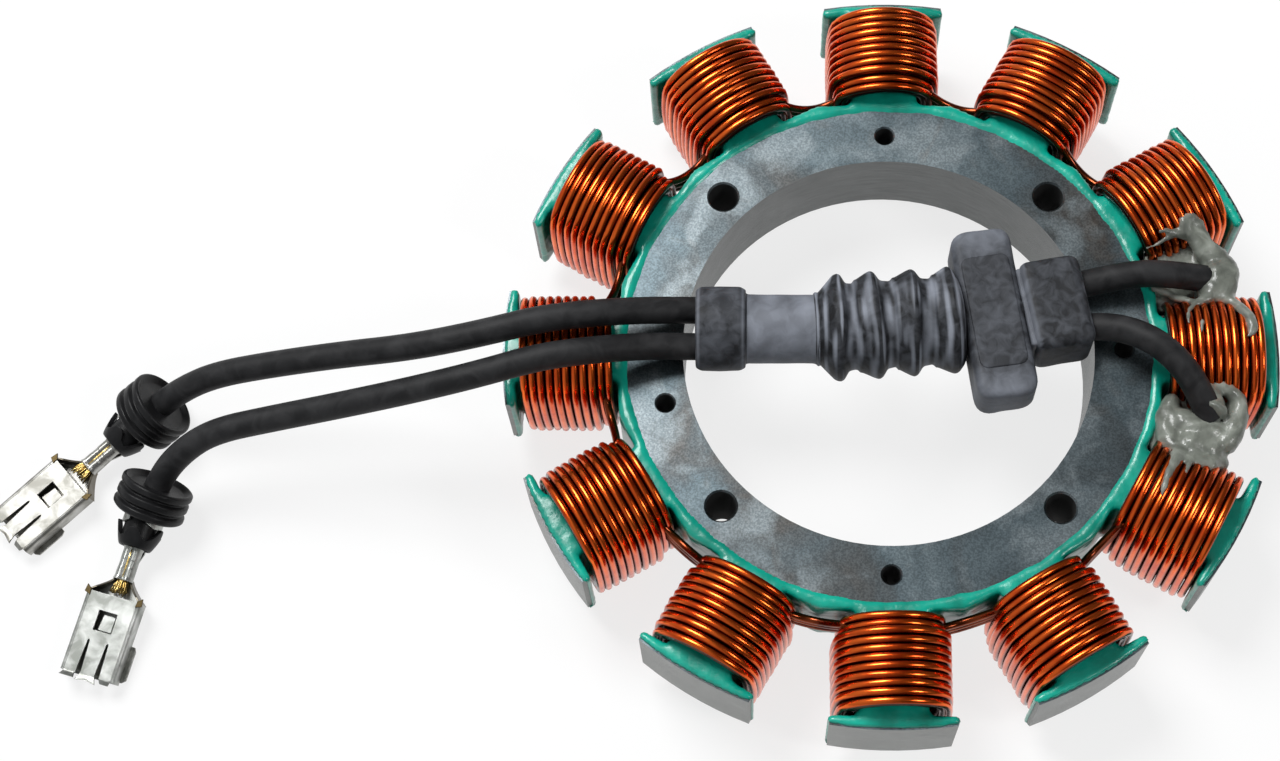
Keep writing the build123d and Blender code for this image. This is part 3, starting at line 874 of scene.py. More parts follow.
def makeBoot():
    values = bootValues
    builder = bmesh.new()
    collar = toMetres @ flatMatrix(values["collarPlace"], 0)
    radius, length, tube = values["collarRadius"], values["collarLength"], values["tubeRadius"]
    collarProfile = [
        (0.9, 0), (0.9, radius - 1.9), (0.0, radius - 1.3), (0.0, radius - 0.5), (0.9, radius),
        (length * 0.5, radius + 0.1), (length - 0.9, radius), (length, radius - 0.55), (length, tube),
        (length + 0.4, tube - 0.15), (20.4, tube - 0.2), (21.5, tube + 0.3), (21.5, 0),
    ]

    def collarShape(point, turn):
        size = 1 + 0.012 * noiseRound(point.x * 0.25, turn, 1.4)
        return Vector((point.x, point.y * size, point.z * size))

    # painted highlight: light lines along the collar's two rounded edges; the collar gets a little noise and the tube
    # beyond it is lighter all over
    def collarDustAndSheen(along, reach, turn):
        if along < length + 0.2:
            paintedHighlight = max(0, 1 - abs(along - 0.5) / 0.4) + max(0, 1 - abs(along - length + 0.5) / 0.35)
            return 0.38 * paintedHighlight + 0.10 + 0.12 * noise.noise(Vector((along * 0.4, turn * 1.5, 8)))
        return 0.62 + 0.28 * noise.noise(Vector((along * 0.35, turn * 1.3, 2)))

    latheMesh(builder, softProfile(collarProfile, 0.5, 0.6), collar, 84, collarShape, collarDustAndSheen)
    bellows = toMetres @ flatMatrix(values["bellowsPlace"], values["bellowsTurn"])
    crest, valley, pitch = values["foldRadius"], values["valleyRadius"], values["foldPitch"]
    folds = [
        (-0.6, 0), (-0.6, tube), (-0.3, tube + 0.3), (0.1, tube + 0.1), (2.6, crest - 0.3), (3.5, crest),
        (4.1, crest - 0.25), (5.0, valley),
    ]
    oneFold = [
        (-0.35, valley - 0.15), (0.15, valley + 0.45), (0.5, valley + 0.5), (2.3, crest - 0.25),
        (3.0, crest), (3.6, crest - 0.3), (4.6, valley),
    ]
    for fold in (1, 2, 3):
        folds += [(fold * pitch + along, reach) for along, reach in oneFold]
    folds.append((folds[-1][0] + 0.6, 0))

    def foldShape(point, turn):
        lean = 0.28 * math.sin(point.x * 0.42 + 0.6) * math.cos(turn)
        ripple = noiseRound(point.x * 0.22, turn, 1.1)
        size = 1 + 0.022 * ripple
        return Vector((point.x + lean + ripple * 0.25, point.y * size, point.z * size))

    # dust in the valleys, at the seam and in noise patches, and painted highlight: a light streak just past each crest
    # and a lighter slope before it
    def foldDustAndSheen(along, reach, turn):
        low = max(0, 1 - abs(reach - valley) / 0.7)
        seam = max(0, 1 - abs(along + 0.2) / 0.35)
        within = (along - 2.4) % pitch
        streak = max(0, 1.5 * noise.noise(Vector((along * 0.2, math.cos(turn) * 2.2, 5))) + 0.6)
        paintedHighlight = max(0, 1 - abs(within - 1.35) / 0.34) * streak
        slope = 0.30 if within > pitch - 1.5 or within < 0.5 else 0.0
        patch = noiseRound(along * 0.95, turn, 1.3)
        amount = 0.02 + 0.32 * low + 0.75 * seam + 0.9 * paintedHighlight + slope * (0.5 + patch) + 0.60 * patch
        return min(1, max(0, 1.6 * (amount - 0.2) + 0.2))

    latheMesh(builder, softProfile(folds, 0.45, 0.4), bellows, 96, foldShape, foldDustAndSheen)
    bar = toMetres @ flatMatrix(values["barPlace"], values["barTurn"])
    block = toMetres @ flatMatrix(values["blockPlace"], values["blockTurn"])
    lip = block @ Matrix.Translation(values["lipPlace"])
    low, high = values["neckEnds"]
    neck = values["neckRadius"]
    latheMesh(builder, [(low, 0), (low, neck), (high, neck), (high, 0)], bar, 60)

    def barDust(point):
        ends = max(0, (abs(point.y) - 9.5) / 3)
        scuff = noise.noise(Vector((point.x * 0.5, point.y * 0.3, 4)))
        return min(0.7, max(0, 0.13 + 0.22 * ends + 0.20 * scuff))

    def panelDust(point):
        return 0.08 + 0.08 * noise.noise(point * 0.5)

    def blockDust(point):
        return 0.35 if point.x < -4.2 or point.x > 4.9 else 0.03

    raised = values["barSize"][2] / 2 - values["panelSink"]
    slabMesh(builder, values["barSize"], 2.2, 1.5, bar, barDust)
    slabMesh(builder, values["panelSize"], 1.2, 0.3, bar, panelDust, raised)
    slabMesh(builder, values["blockSize"], 1.5, 1.6, block, blockDust)
    slabMesh(builder, values["lipSize"], 0.5, 0.4, lip, lambda point: 0.4)
    mesh = meshDone(builder, "rubberBoot")
    return pieceFrom("rubberBoot", mesh, "boot", "boot_rubber", "boot")


boot = makeBoot()
print("boot made")


def placeOn(route, back):
    # a point of a lead, and its direction there, measured back from its end in mm
    walked = 0.0
    for first, second in zip(route[::-1], route[-2::-1]):
        step = (second - first).length
        if walked + step >= back * mm:
            return first.lerp(second, (back * mm - walked) / step), (first - second).normalized()
        walked += step


# seals: a ribbed disc that the lead goes into, its neck, and a cup with two horns
sealValues = {
    "radius": 6.5,
    "thickness": 5.8,
    "setback": 9.8,
    "dish": 0.8,
    "rim": 0.75,
    "grooveWidth": 0.8,
    "grooveDepth": 0.75,
    "neckRadius": 3.05,
    "neckLength": 8.4,
    "cupRadius": 4.2,
    "cupEndRadius": 2.8,
    "cupWall": 0.8,
    "cupLength": 3.6,
    "backEdge": [
        (0, -3.3), (13, -3.1), (26, -1.9), (45, -1.5), (62, -2.3), (76, -4.3), (84, -4.1), (96, -3.0),
        (180, -2.8),
    ],
}


def alongKeys(keys, place):
    for (first, low), (second, high) in zip(keys, keys[1:]):
        if place <= second:
            return low + (high - low) * (place - first) / (second - first)
    return keys[-1][1]


def makeSeal(number, route):
    values = sealValues
    builder = bmesh.new()
    radius, thickness, dish = values["radius"], values["thickness"], values["dish"]
    width, floor = values["grooveWidth"], radius - values["grooveDepth"]
    rim = radius - values["rim"]
    place, _ = placeOn(route, values["setback"] + thickness / 2)
    _, direction = placeOn(route, values["setback"])
    disc = alongMatrix(place, direction) @ toMetres
    rib = (thickness - 2 * width) / 3
    profile = [(dish, 0), (dish, rim - dish), (0.15, rim), (0, radius - 0.45), (0.3, radius)]
    for index in (1, 2):
        start = index * rib + (index - 1) * width
        middle = start + width / 2
        profile += [(start - 0.12, radius), (middle - 0.16, floor)]
        profile += [(middle + 0.16, floor), (middle + width / 2 + 0.12, radius)]
    profile += [(thickness - 0.35, radius), (thickness, radius - 0.4), (thickness, 0)]

    def discShape(point, turn):
        wave = noiseRound(point.x * 0.5, turn, 1.2, number)
        return Vector((point.x + 0.12 * wave, point.y * (1 + 0.008 * wave), point.z * (1 + 0.008 * wave)))

    latheMesh(builder, softProfile(profile, 0.22, 0.5, 3), disc, 96, discShape)
    end = alongMatrix(*placeOn(route, 0.01)) @ toMetres
    neck, back = values["neckRadius"], -values["neckLength"]
    latheMesh(builder, [(back, 0), (back, neck), (-1.4, neck), (-0.9, 2.4), (-0.9, 0)], end, 48)
    narrow = values["cupEndRadius"]
    widening = values["cupRadius"] - narrow
    pairs = []
    for level in range(11):
        rows = ([], [])
        for step in range(120):
            turn = 2 * math.pi * step / 120
            along = alongKeys(values["backEdge"], degreesFromTop(turn)) * (level / 10)
            reach = narrow + widening * min(1.15, -along / values["cupLength"]) ** 0.75
            for row, wall in zip(rows, (0, values["cupWall"])):
                size = reach - wall * (1 if level else 0.4)
                row.append((along - (0.25 if wall and not level else 0), *onCircle(size, turn)))
        pairs.append(rows)
    shellMesh(builder, end, pairs, around=True)
    mesh = bevelled(meshDone(builder, f"ribbedSeal{number}"), 0.12, 50)
    return pieceFrom(f"ribbedSeal{number}", mesh, "seal", "seal_rubber", f"cable_seal_{number}")


# terminals: a sheet-metal box with a window and three tines, its shoulders, crimped barrel and grip wings
terminalValues = {
    "sheet": 0.45,
    "barrelRadius": 1.6,
    "barrelStart": 0.4,
    "barrelLength": 5.6,
    "strapWidth": 2.4,
    "gripStart": -6.6,
    "gripEnd": -4.0,
    "gripGap": 26,
    "boxStart": 9.2,
    "boxLength": 14.6,
    "boxWidth": 10.3,
    "boxHeight": 3.6,
    "bottom": -1.825,
    "corner": 0.75,
    "windowStart": 3.0,
    "windowSize": (3.6, 3.4),
    "tineLength": 6.0,
    "slot": 0.62,
    "tineWidth": 2.9,
    "flangeWidth": 0.9,
    "flangeLength": 6.6,
}


def outlinePlate(name, outlines, low, high, edge=0.05):
    # a plate with holes: filled flat curves with a small rounded edge, as a mesh in mm
    curve = bpy.data.curves.new(name, "CURVE")
    curve.dimensions = "2D"
    curve.fill_mode = "BOTH"
    curve.extrude = (high - low) / 2 - edge
    curve.bevel_depth = edge
    curve.offset = -edge
    for outline in outlines:
        spline = curve.splines.new("POLY")
        spline.points.add(len(outline) - 1)
        for target, (x, y) in zip(spline.points, outline):
            target.co = (x, y, 0, 1)
        spline.use_cyclic_u = True
    mesh = evaluatedMesh(newObject(name, curve))
    mesh.transform(Matrix.Translation((0, 0, (low + high) / 2)))
    return mesh


def makeTerminal(number, route):
    values = terminalValues
    sheet, corner, bottom = values["sheet"], values["corner"], values["bottom"]
    end = alongMatrix(*placeOn(route, 0.01)) @ toMetres
    builder = bmesh.new()
    stain = builder.verts.layers.float.new("stain")
    start = values["boxStart"]
    finish = start + values["boxLength"]
    top = bottom + values["boxHeight"]
    half = values["boxWidth"] / 2
    inner = half - corner

    # top sheet with two slots and the window
    slotHalf = values["slot"] / 2
    slotPlace = (values["tineWidth"] + values["slot"]) / 2
    tineStart = finish - values["tineLength"]
    outline = [(start, -inner), (finish - 0.3, -inner), (finish, -inner + 0.4)]
    for side in (-1, 1):
        low, high = side * slotPlace - slotHalf, side * slotPlace + slotHalf
        outline += [
            (finish, low - 0.15), (tineStart, low + 0.12), (tineStart - 0.3, side * slotPlace),
            (tineStart, high - 0.12), (finish, high + 0.15),
        ]
    outline += [(finish, inner - 0.4), (finish - 0.3, inner), (start, inner)]
    windowLow = start + values["windowStart"]
    windowHigh = windowLow + values["windowSize"][0]
    windowHalf = values["windowSize"][1] / 2
    window = rectangle(windowLow, windowHigh, -windowHalf, windowHalf)
    topSheet = outlinePlate("topSheet", [outline, window], top - sheet, top)
    topSheet.transform(end)
    builder.from_mesh(topSheet)

    # sides and floor, with rounded corners between them
    def section(shift):
        reach = corner - shift
        arc = [math.pi / 2 * step / 5 for step in range(6)]
        path = [(inner + reach * math.sin(turn), top - corner + reach * math.cos(turn)) for turn in arc]
        path += [(inner + reach * math.cos(turn), bottom + corner - reach * math.sin(turn)) for turn in arc]
        return path + [(-y, z) for y, z in reversed(path)]

    places = [start + values["boxLength"] * step / 8 for step in range(1, 8)]
    places = [start, start + 0.15, *places, finish - 0.15, finish]
    pairs = [[[(place, y, z) for y, z in section(shift)] for shift in (0, sheet)] for place in places]
    shellMesh(builder, end, pairs, layer=stain)

    # turned-out tips of the tines: left, middle with a fishtail, right
    outerTine = (slotPlace + inner) / 2
    for middle, narrow, wide, lift, reach, tail in (
        (-outerTine - 0.3, 1.0, 1.35, 0.9, 1.1, 0),
        (0.0, 1.4, 1.95, 0.35, 1.35, 0.35),
        (outerTine + 0.2, 1.05, 0.75, -0.35, 0.9, 0),
    ):
        pairs = []
        for step in range(5):
            share = step / 4
            width = narrow + (wide - narrow) * share**1.5
            along = finish - 0.15 + reach * share
            height = top + lift * share**1.6
            dip = tail * share**2
            row = [(along - dip * (1 - abs(side)), middle + width * side) for side in (-1, -0.5, 0, 0.5, 1)]
            pairs.append([[(x, y, height - depth) for x, y in row] for depth in (0, sheet * 0.8)])
        shellMesh(builder, end, pairs, layer=stain, amount=0.12)

    # spring tongue under the window and the leaf inside the box
    tongue = [
        (windowLow + 0.5, -0.9), (windowHigh - 0.2, -1.2), (windowHigh - 0.2, 1.3), (windowLow + 0.5, 1.3),
    ]
    plateMesh(builder, end, tongue, top - 1.35, top - 1.0, stain, 0.0)
    leaf = rectangle(start + 1.0, finish - 0.6, -half + 0.8, half - 0.8)
    plateMesh(builder, end, leaf, bottom + 0.9, bottom + 1.15, stain, 0.35)

    # flange on one side
    flangeStart, flangeEdge = start + 7.4, half + values["flangeWidth"]
    flangeEnd = flangeStart + values["flangeLength"]
    flange = [
        (flangeStart, half - 0.3), (flangeStart, half + 0.5), (flangeStart + 0.8, flangeEdge),
        (flangeEnd - 0.6, flangeEdge), (flangeEnd, half + 0.2), (flangeEnd, half - 0.3),
    ]
    plateMesh(builder, end, flange, bottom, bottom + 0.4, stain, 0.25)

    # shoulders: the floor widens from the strap to the box, between two standing walls
    strap = values["strapWidth"] / 2
    neckPlace = values["barrelStart"] + values["barrelLength"]
    floor = [
        (1.9, -strap), (neckPlace, -strap - 0.1), (start + 0.3, -half + 0.4), (start + 0.3, half - 0.4),
        (neckPlace, strap + 0.1), (1.9, strap),
    ]
    plateMesh(builder, end, floor, bottom, bottom + sheet, stain, 0.1)
    for side in (-1, 1):
        pairs = []
        for step in range(9):
            share = step / 8
            along = neckPlace - 0.5 + (start + 0.5 - neckPlace) * share
            across = side * (strap + 0.25 + (half - strap - 0.3) * share**1.3)
            height = bottom + 1.7 + (top - bottom - 1.75) * min(1, share * 1.25) ** 1.4
            levels = [bottom + (height - bottom) * level / 4 for level in range(5)]
            rows = ((along, across), (along + 0.1, across - side * 0.4))
            pairs.append([[(x, y, level) for level in levels] for x, y in rows])
        shellMesh(builder, end, pairs, layer=stain, amount=0.75)
        ear = [
            (start - 0.9, side * (half + 0.05)), (start + 0.5, side * (half + 0.25)),
            (start + 0.9, side * (half - 0.9)), (start - 0.2, side * (half - 0.8)),
        ]
        plateMesh(builder, end, ear if side > 0 else ear[::-1], top - 0.25, top + 0.2, stain, 1.0)

    # barrel folded round the strands: two lobes that meet in a seam
    def barrelRing(place, grow, wall):
        ring = []
        for step in range(48):
            turn = 2 * math.pi * step / 48
            seam = 0.62 * math.exp(-((degreesFromTop(turn) / 17) ** 2))
            size = values["barrelRadius"] + grow - seam - wall
            ring.append((place, size * 1.06 * math.cos(turn), size * math.sin(turn)))
        return ring

    barrel = [
        (-0.35, 0.22), (0.1, 0.1), (0.5, 0.0), (2.2, 0.0), (2.5, -0.05), (3.6, -0.05), (3.9, 0.0),
        (5.3, 0.0), (5.7, 0.08), (6.0, 0.2),
    ]
    pairs = [[barrelRing(place, grow, wall) for wall in (0, 0.4)] for place, grow in barrel]
    shellMesh(builder, end, pairs, around=True, layer=stain)

    # wings of the grip, round the seal's neck, and the strap below
    gripStart, gripEnd, gap = values["gripStart"], values["gripEnd"], values["gripGap"]
    pairs = []
    for step in range(41):
        turn = math.radians(90 + gap + (360 - 2 * gap) * step / 40)
        trim = 0.5 * max(0, 1 - min(step, 40 - step) / 40 / 0.08)
        places = (gripStart + trim, (gripStart + gripEnd) / 2, gripEnd - trim)
        pairs.append([[(place, *onCircle(size, turn)) for place in places] for size in (3.62, 3.12)])
    shellMesh(builder, end, pairs, layer=stain)
    pairs = []
    for place, height in ((-6.4, -3.55), (0.2, -3.5), (2.2, bottom), (3.0, bottom)):
        levels = (height, height + sheet)
        pairs.append([[(place, across, level) for across in (-strap, strap)] for level in levels])
    shellMesh(builder, end, pairs, layer=stain)
    name = f"boxTerminal{number}"
    mesh = bevelled(meshDone(builder, name, smooth=False), 0.07, 40)
    return pieceFrom(name, mesh, "tin" if number == 1 else "lighterTin", "tin_sheet", f"terminal_{number}")


# strands: a core in the barrel, a strip in its seam and the frayed brush past it
strandValues = {"count": 46, "wire": 0.13, "spread": 1.75, "tip": 8.1, "seed": 5}


def makeStrands(number, route):
    values = strandValues
    end = alongMatrix(*placeOn(route, 0.01)) @ toMetres
    builder = bmesh.new()
    shuffled = random.Random(values["seed"] + number)
    core = [end @ Vector((place, 0, 0)) for place in (-1.0, 1.0, 3.0, 5.0, 6.2)]
    tubeMesh(builder, core, [1.05 * mm] * 5, 20)
    seam = [end @ Vector((place, 0, 0.72)) for place in (0.0, 2.0, 4.0, 5.9)]
    tubeMesh(builder, seam, [0.36 * mm] * 4, 10)
    for _ in range(values["count"]):
        turn = shuffled.uniform(0, 2 * math.pi)
        across, up = onCircle(math.sqrt(shuffled.uniform(0, 1)), turn)
        tip = values["tip"] + shuffled.uniform(-0.6, 0.6)
        points = []
        for step in range(5):
            share = step / 4
            spread = 0.9 + (values["spread"] - 0.9) * share**0.8
            jitter = Vector([shuffled.uniform(-0.12, 0.12) for _ in range(3)]) * share
            height = up * (0.9 + 0.15 * share) + 0.25 * share
            points.append(end @ (Vector((5.6 + (tip - 5.6) * share, across * spread, height)) + jitter))
        tubeMesh(builder, points, [values["wire"] * mm] * 5, 5)
    mesh = meshDone(builder, f"strandBrush{number}")
    return pieceFrom(f"strandBrush{number}", mesh, "strand", "bare_strand", f"conductor_end_{number}")


leadPieces = []
for number, route in enumerate(routes, start=1):
    leadPieces.append([makeSeal(number, route), makeStrands(number, route), makeTerminal(number, route)])
print("seals and terminals made")


# sealant: the solid that fills the slot, with lumps, fingers and thin strands over the turns, as one skin
sealantValues = {
    "voxel": 0.36,
    "base": 13,
    "keep": 0.62,
    "lumps": 0.5,
    "arms": (
        [
            [(57.0, 13.0, 23.5, 3.2), (56.0, 10.2, 23.8, 3.0), (57.4, 9.6, 23.8, 2.4)],
            [
                (56.6, 15.4, 23.4, 1.9), (54.7, 17.2, 24.0, 1.6), (52.9, 19.6, 24.9, 1.4),
                (51.3, 21.7, 25.9, 1.2),
            ],
            [
                (51.1, 22.4, 26.2, 1.0), (52.3, 23.0, 26.0, 1.2), (53.7, 22.2, 24.9, 1.4),
                (54.2, 20.6, 24.6, 1.3), (55.0, 18.5, 24.4, 1.5), (56.9, 16.6, 24.0, 1.9),
            ],
            [
                (51.7, 20.2, 24.4, 0.9), (49.8, 20.3, 25.4, 0.8), (47.9, 20.5, 26.4, 0.6),
                (46.9, 20.1, 26.6, 0.45),
            ],
            [
                (49.8, 20.2, 25.2, 0.6), (48.0, 19.2, 25.5, 0.5), (46.3, 18.1, 25.5, 0.4),
                (44.7, 17.5, 25.6, 0.32), (44.2, 16.7, 25.2, 0.28),
            ],
            [
                (58.5, 14.9, 24.2, 1.7), (58.8, 12.9, 24.6, 1.8), (58.3, 10.8, 24.8, 1.8),
                (57.7, 9.2, 24.8, 1.7),
            ],
            [
                (57.0, 8.6, 25.2, 1.3), (58.7, 7.5, 25.4, 1.0), (59.9, 5.7, 26.7, 1.0),
                (61.0, 3.7, 27.6, 1.15), (61.4, 1.8, 28.1, 1.1), (61.0, 0.9, 28.3, 0.8),
            ],
            [(61.3, 2.0, 28.2, 0.7), (60.9, 0.4, 28.45, 0.45), (60.3, 0.1, 28.6, 0.3)],
            [
                (54.6, 8.4, 25.3, 1.3), (52.4, 7.0, 25.8, 0.7), (50.9, 5.2, 27.2, 0.45),
                (50.6, 3.4, 28.1, 0.5), (50.6, 2.6, 28.3, 0.3),
            ],
            [(53.0, 2.8, 28.4, 0.5), (52.7, 1.7, 28.6, 0.42), (52.6, 0.7, 28.7, 0.3)],
            [
                (46.0, 10.8, 23.3, 0.8), (47.9, 10.0, 23.4, 0.8), (49.8, 8.7, 24.1, 0.7),
                (52.2, 7.4, 25.6, 0.8),
            ],
        ],
        [
            [
                (55.7, -7.4, 24.9, 1.0), (57.5, -8.4, 24.4, 1.4), (59.0, -9.6, 23.4, 1.6),
                (58.9, -12.0, 23.2, 1.9), (57.9, -14.6, 23.2, 2.2), (56.4, -17.0, 23.0, 2.4),
            ],
            [
                (53.6, -7.4, 25.2, 0.8), (54.4, -8.4, 25.4, 0.9), (55.0, -9.6, 25.3, 1.1),
                (55.2, -11.0, 25.2, 1.3),
            ],
            [
                (52.6, -10.6, 27.3, 0.8), (53.3, -11.4, 27.2, 1.0), (54.6, -11.6, 26.6, 1.1),
                (55.7, -12.4, 25.4, 1.2),
            ],
            [
                (47.9, -9.8, 22.6, 1.6), (47.0, -12.1, 22.6, 2.0), (46.7, -15.0, 22.9, 2.0),
                (47.2, -17.3, 23.4, 2.2), (48.4, -18.6, 23.8, 2.0),
            ],
            [
                (49.5, -13.6, 23.2, 2.6), (51.9, -15.2, 23.2, 2.8), (54.0, -15.4, 23.2, 2.6),
                (50.3, -17.8, 23.8, 2.6), (53.6, -18.5, 23.4, 2.6),
            ],
            [
                (48.8, -18.9, 24.2, 1.7), (47.4, -21.2, 26.4, 1.3), (46.3, -23.3, 27.6, 0.9),
                (45.5, -25.0, 28.2, 0.65), (44.8, -27.0, 28.4, 0.6), (44.5, -28.1, 28.3, 0.35),
            ],
            [
                (51.0, -19.6, 24.4, 1.6), (50.3, -20.9, 25.8, 0.9), (49.5, -21.9, 26.7, 0.6),
                (48.9, -23.6, 27.8, 0.45), (48.8, -24.2, 28.0, 0.3),
            ],
            [(51.4, -21.3, 25.3, 1.3), (53.3, -21.6, 24.6, 1.6), (55.2, -20.6, 22.6, 1.8)],
        ],
    ),
}


def makeSealantMass(number):
    values = sealantValues
    builder = bmesh.new()
    builder.from_mesh(frame["nodes"][f"sealant_{number}"].data)
    bmesh.ops.remove_doubles(builder, verts=builder.verts, dist=1e-6)
    base = values["base"] * mm
    for vertex in builder.verts:
        vertex.co.z = base + (vertex.co.z - base) * values["keep"]
    for arm in values["arms"][number - 1]:
        points = [Vector(point[:3]) * mm for point in arm]
        for point, (*_, radius) in zip(points, arm):
            matrix = Matrix.Translation(point)
            bmesh.ops.create_icosphere(builder, subdivisions=2, radius=radius * mm, matrix=matrix)
        tubeMesh(builder, points, [point[3] * mm for point in arm], 14)
    mesh = oneSkin(meshDone(builder, "sealantMass"), values["voxel"], 0.6, 4)
    normals = [vertex.normal.copy() for vertex in mesh.vertices]
    for vertex, normal in zip(mesh.vertices, normals):
        place = vertex.co * 1000
        lump = noise.fractal(place * 0.55 + Vector((number * 9, 0, 0)), 0.9, 2.1, 3)
        fold = abs(noise.noise(place * 0.32 + Vector((3, number * 5, 7))))
        near = min(1, max(0, (place.z - 19) / 3))
        vertex.co += normal * (lump * 0.32 - (0.5 - fold) * 0.3 * near) * values["lumps"] * mm
    return pieceFrom(f"sealantMass{number}", mesh, "sealant", "grey_sealant", f"sealant_{number}")


for number in (1, 2):
    makeSealantMass(number)
print("sealant laid")


# coat: a lumpy skin over the poles and the ring's wall, with a ragged edge on the bare face
coatValues = {
    "voxel": 0.66,
    "ringFlat": 46.55,
    "poleHalf": 5.85,
    "shoeHalf": 10.9,
    "shoeInner": 64.15,
    "tip": 66.7,
    "hidden": 44.1,
    "edge": 45.05,
    "ragged": 0.32,
    "faceHeight": (6.0, 22.5),
    "thickness": 0.42,
    "lumps": 0.075,
    "lip": 0.14,
    "lipDepth": 0.7,
}


def makeCoatSkin():
    values = coatValues
    outline = []
    for pole in range(12):
        turn = math.radians(30 * pole)
        side = math.radians(15)
        slotReach = values["ringFlat"] / math.cos(side) - 0.35
        tipCorner = math.sqrt(values["tip"] ** 2 - values["shoeHalf"] ** 2)
        half = [
            (slotReach * math.cos(side), -slotReach * math.sin(side)),
            (values["ringFlat"], -values["poleHalf"]), (values["shoeInner"], -values["poleHalf"]),
        ]
        half += [(values["shoeInner"], -values["shoeHalf"]), (tipCorner, -values["shoeHalf"])]
        arc = [math.asin(values["shoeHalf"] / values["tip"]) * (step / 4 - 1) for step in range(1, 8)]
        points = half + [onCircle(values["tip"], step) for step in arc] + [(x, -y) for x, y in half[:0:-1]]
        cosine, sine = math.cos(turn), math.sin(turn)
        outline += [(x * cosine - y * sine, x * sine + y * cosine) for x, y in points]
    circle = [onCircle(values["hidden"], math.radians(3 * step)) for step in range(120)]
    low, high = values["faceHeight"]
    thickness = values["thickness"]
    mesh = outlinePlate("coatBlank", [outline, circle], low - thickness, high + thickness, 0.02)
    mesh.transform(toMetres)
    mesh = oneSkin(mesh, values["voxel"], 0.5, 2)
    normals = [vertex.normal.copy() for vertex in mesh.vertices]
    for vertex, normal in zip(mesh.vertices, normals):
        place = vertex.co * 1000
        reach = math.hypot(place.x, place.y)
        turn = math.atan2(place.y, place.x)
        lump = noise.noise(place * 0.62) + 0.5 * noise.noise(place * 1.5)
        around = Vector((math.cos(turn) * 9, math.sin(turn) * 9, 4))
        edge = values["edge"] + values["ragged"] * (noise.noise(around) + 0.5 * noise.noise(around * 3.1))
        moved = place + normal * (lump * values["lumps"])
        rise = min(1, max(0, (reach - edge + 0.45) / 1.1))
        rise = rise * rise * (3 - 2 * rise)
        if place.z > high - 0.3 or place.z < low + 0.3:
            sink = (1 - rise) * (thickness + 0.4)
            moved.z += -sink if place.z > 14 else sink
        inwards = min(1, max(0, (min(place.z - low, high - place.z) + 0.12) / 0.3))
        ripple = values["lip"] * (noise.noise(around * 2.3) - 1)
        limit = values["tip"] + ripple - values["lipDepth"] * inwards
        if reach > limit:
            shrink = limit / reach
            moved.x *= shrink
            moved.y *= shrink
        vertex.co = moved * mm
    return pieceFrom("coatSkin", mesh, "coat", "teal_coat", "insulating_coat")


makeCoatSkin()
print("coat laid")

# wires that cross the slots close to the ring's wall, three under one another, from coil to coil, in the darker copper
# copy that paints the slots' shade
crossingValues = {
    "radius": 0.69,
    "half": 5.4,
    "wall": 49.0,
    "ends": 49.4,
    "height": 21.6,
    "sag": 2.6,
    "slope": 1.3,
    "strands": 3,
    "drop": 1.5,
    "drift": 0.5,
}


def makeCrossing(slot):
    values = crossingValues
    middle = math.radians(30 * slot + 15)
    builder = bmesh.new()
    for strand in range(values["strands"]):
        wander = noise.noise(Vector((slot * 3.7, 1 + strand * 2.3, 2)))
        drift = values["drift"] * noise.noise(Vector((slot * 2.9, strand * 5.1, 7)))
        points = []
        for step in range(13):
            share = step / 6 - 1
            along = values["half"] * share
            near = 1 - share * share
            reach = values["ends"] + (values["wall"] - values["ends"]) * near + abs(drift) * near
            sag = (values["sag"] + wander) * near
            height = values["height"] + values["slope"] * share - sag - values["drop"] * strand
            x = reach * math.cos(middle) - along * math.sin(middle)
            y = reach * math.sin(middle) + along * math.cos(middle)
            points.append(Vector((x, y, height)) * mm)
        tubeMesh(builder, points, [values["radius"] * mm] * len(points), 12)
    name = f"crossingWire{slot + 1:02d}"
    pieceFrom(name, meshDone(builder, name), "core", "enamelled_copper", f"coil_jumper_{slot + 1:02d}")


for slot in range(11):
    makeCrossing(slot)

# plain materials for the nodes that stay
nodeLooks = {"lamination_stack": "steel"}
for number in (1, 2):
    nodeLooks[f"coil_tail_{number}"] = "copper"
    nodeLooks[f"splice_sleeve_{number}"] = "tin"
for name, look in nodeLooks.items():
    node = frame["nodes"][name]
    node.data.materials.clear()
    node.data.materials.append(looks[look])

for number, lead in enumerate(leads, start=1):
    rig.cord(
        lead,
        exit=tuple(Vector(leadPoints[number - 1][0]) * mm),
        length=leadValues["lengths"][number - 1],
        diameter=leadValues["diameter"],
        far_end="connector",
        stiffness="medium",
        lay="loose",
        with_pieces=leadPieces[number - 1] + ([boot] if number == 1 else []),
    )


# floor, sky and lamps
floorValues = {"size": 6.0, "height": 0.0, "white": 0.97, "bounce": 0.5, "glow": 0.78}


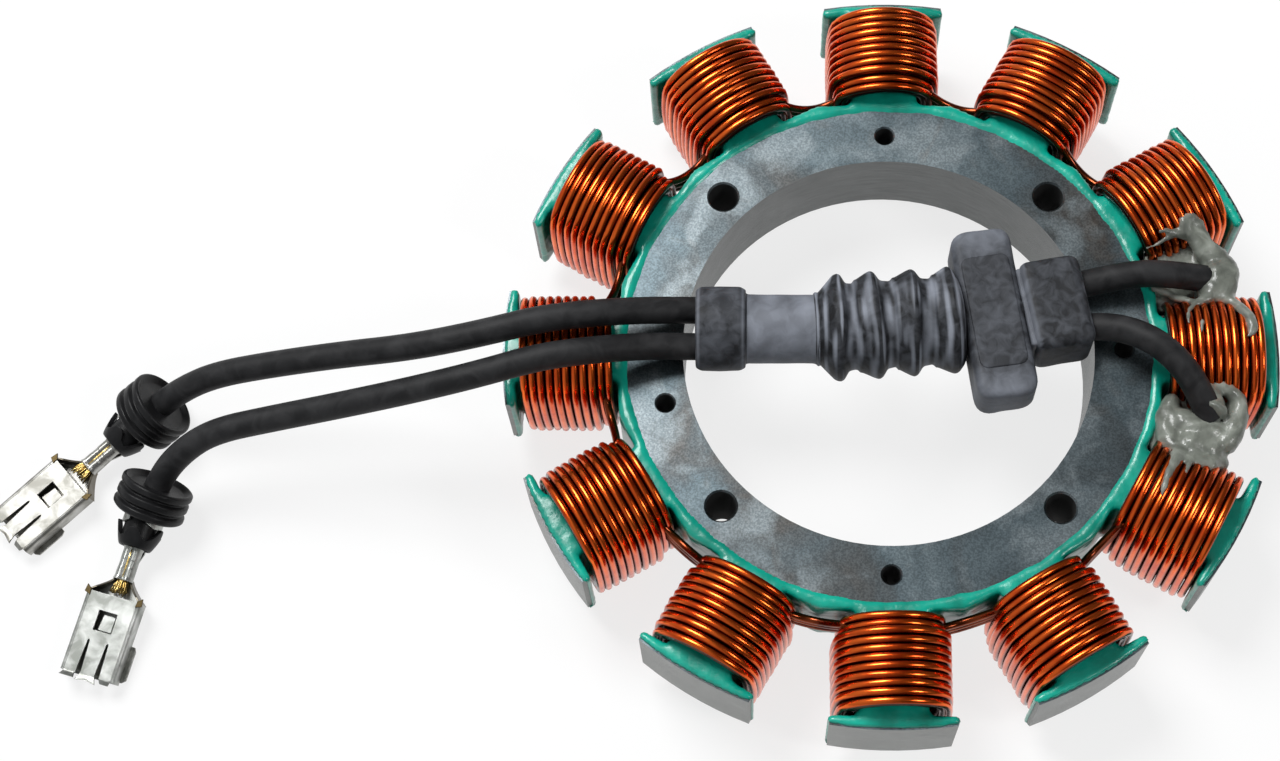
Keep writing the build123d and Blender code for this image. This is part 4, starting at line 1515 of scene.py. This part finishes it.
def makeFloor():
    builder = bmesh.new()
    bmesh.ops.create_grid(builder, x_segments=1, y_segments=1, size=floorValues["size"] / 2)
    mesh = meshDone(builder, "floor", smooth=False)
    floor = newObject("floor", mesh)
    floor.location.z = floorValues["height"]
    material = bpy.data.materials.new("paleFloor")
    material.use_nodes = True
    tree = material.node_tree
    tree.nodes.clear()
    path = addNode(tree, "ShaderNodeLightPath")
    seen = calc(tree, "MAXIMUM", path.outputs["Is Camera Ray"], path.outputs["Is Glossy Ray"])
    seen = calc(tree, "MAXIMUM", seen, path.outputs["Is Transmission Ray"])
    amount = calc(tree, "MULTIPLY", seen, floorValues["glow"])
    bounce, white = floorValues["bounce"], floorValues["white"]
    tone = blendColours(tree, seen, (bounce, bounce, bounce), (white, white, white))
    matt = result(tree, "ShaderNodeBsdfDiffuse", {"Color": tone})
    glow = result(tree, "ShaderNodeEmission", {"Color": (1, 1, 1, 1), "Strength": 1.0})
    mixed = result(tree, "ShaderNodeMixShader", {0: amount, 1: matt, 2: glow})
    addNode(tree, "ShaderNodeOutputMaterial", {"Surface": mixed})
    mesh.materials.append(material)
    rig.stage(floor)


skyValues = {"left": 0.48, "right": 0.08}


def makeSky():
    world = bpy.data.worlds.new("studio")
    scene.world = world
    world.use_nodes = True
    tree = world.node_tree
    tree.nodes.clear()
    path = addNode(tree, "ShaderNodeLightPath")
    direction = addNode(tree, "ShaderNodeTexCoord").outputs["Generated"]
    sideways = partsOf(tree, direction)["X"]
    strength = mapRange(tree, sideways, -0.30, 0.24, skyValues["left"], skyValues["right"])
    inputs = {"Color": (0.95, 0.98, 1.0, 1), "Strength": strength}
    soft = result(tree, "ShaderNodeBackground", inputs)
    white = result(tree, "ShaderNodeBackground", {"Color": (1, 1, 1, 1), "Strength": 1.0})
    inputs = {0: path.outputs["Is Camera Ray"], 1: soft, 2: white}
    mixed = result(tree, "ShaderNodeMixShader", inputs)
    addNode(tree, "ShaderNodeOutputWorld", {"Surface": mixed})


lampValues = {
    "softbox": {"place": (-0.38, 0.40, 0.90), "size": 0.5, "power": 9.0},
    "fill": {"place": (0.75, -0.35, 0.85), "size": 0.3, "power": 2.9},
}


def makeLamps():
    for name, values in lampValues.items():
        data = bpy.data.lights.new(name, "AREA")
        data.shape = "DISK"
        data.size = values["size"]
        data.energy = values["power"]
        lamp = newObject(name, data)
        lamp.location = values["place"]
        aim = -Vector(values["place"])
        lamp.rotation_mode = "QUATERNION"
        lamp.rotation_quaternion = aim.to_track_quat("-Z", "Y")


makeFloor()
makeSky()
makeLamps()
print("floor and lamps set")

seenLow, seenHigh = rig.bounds()
with open("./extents.json", "w") as sizes:
    json.dump([[list(cadLow), list(cadHigh)], [list(seenLow), list(seenHigh)]], sizes)
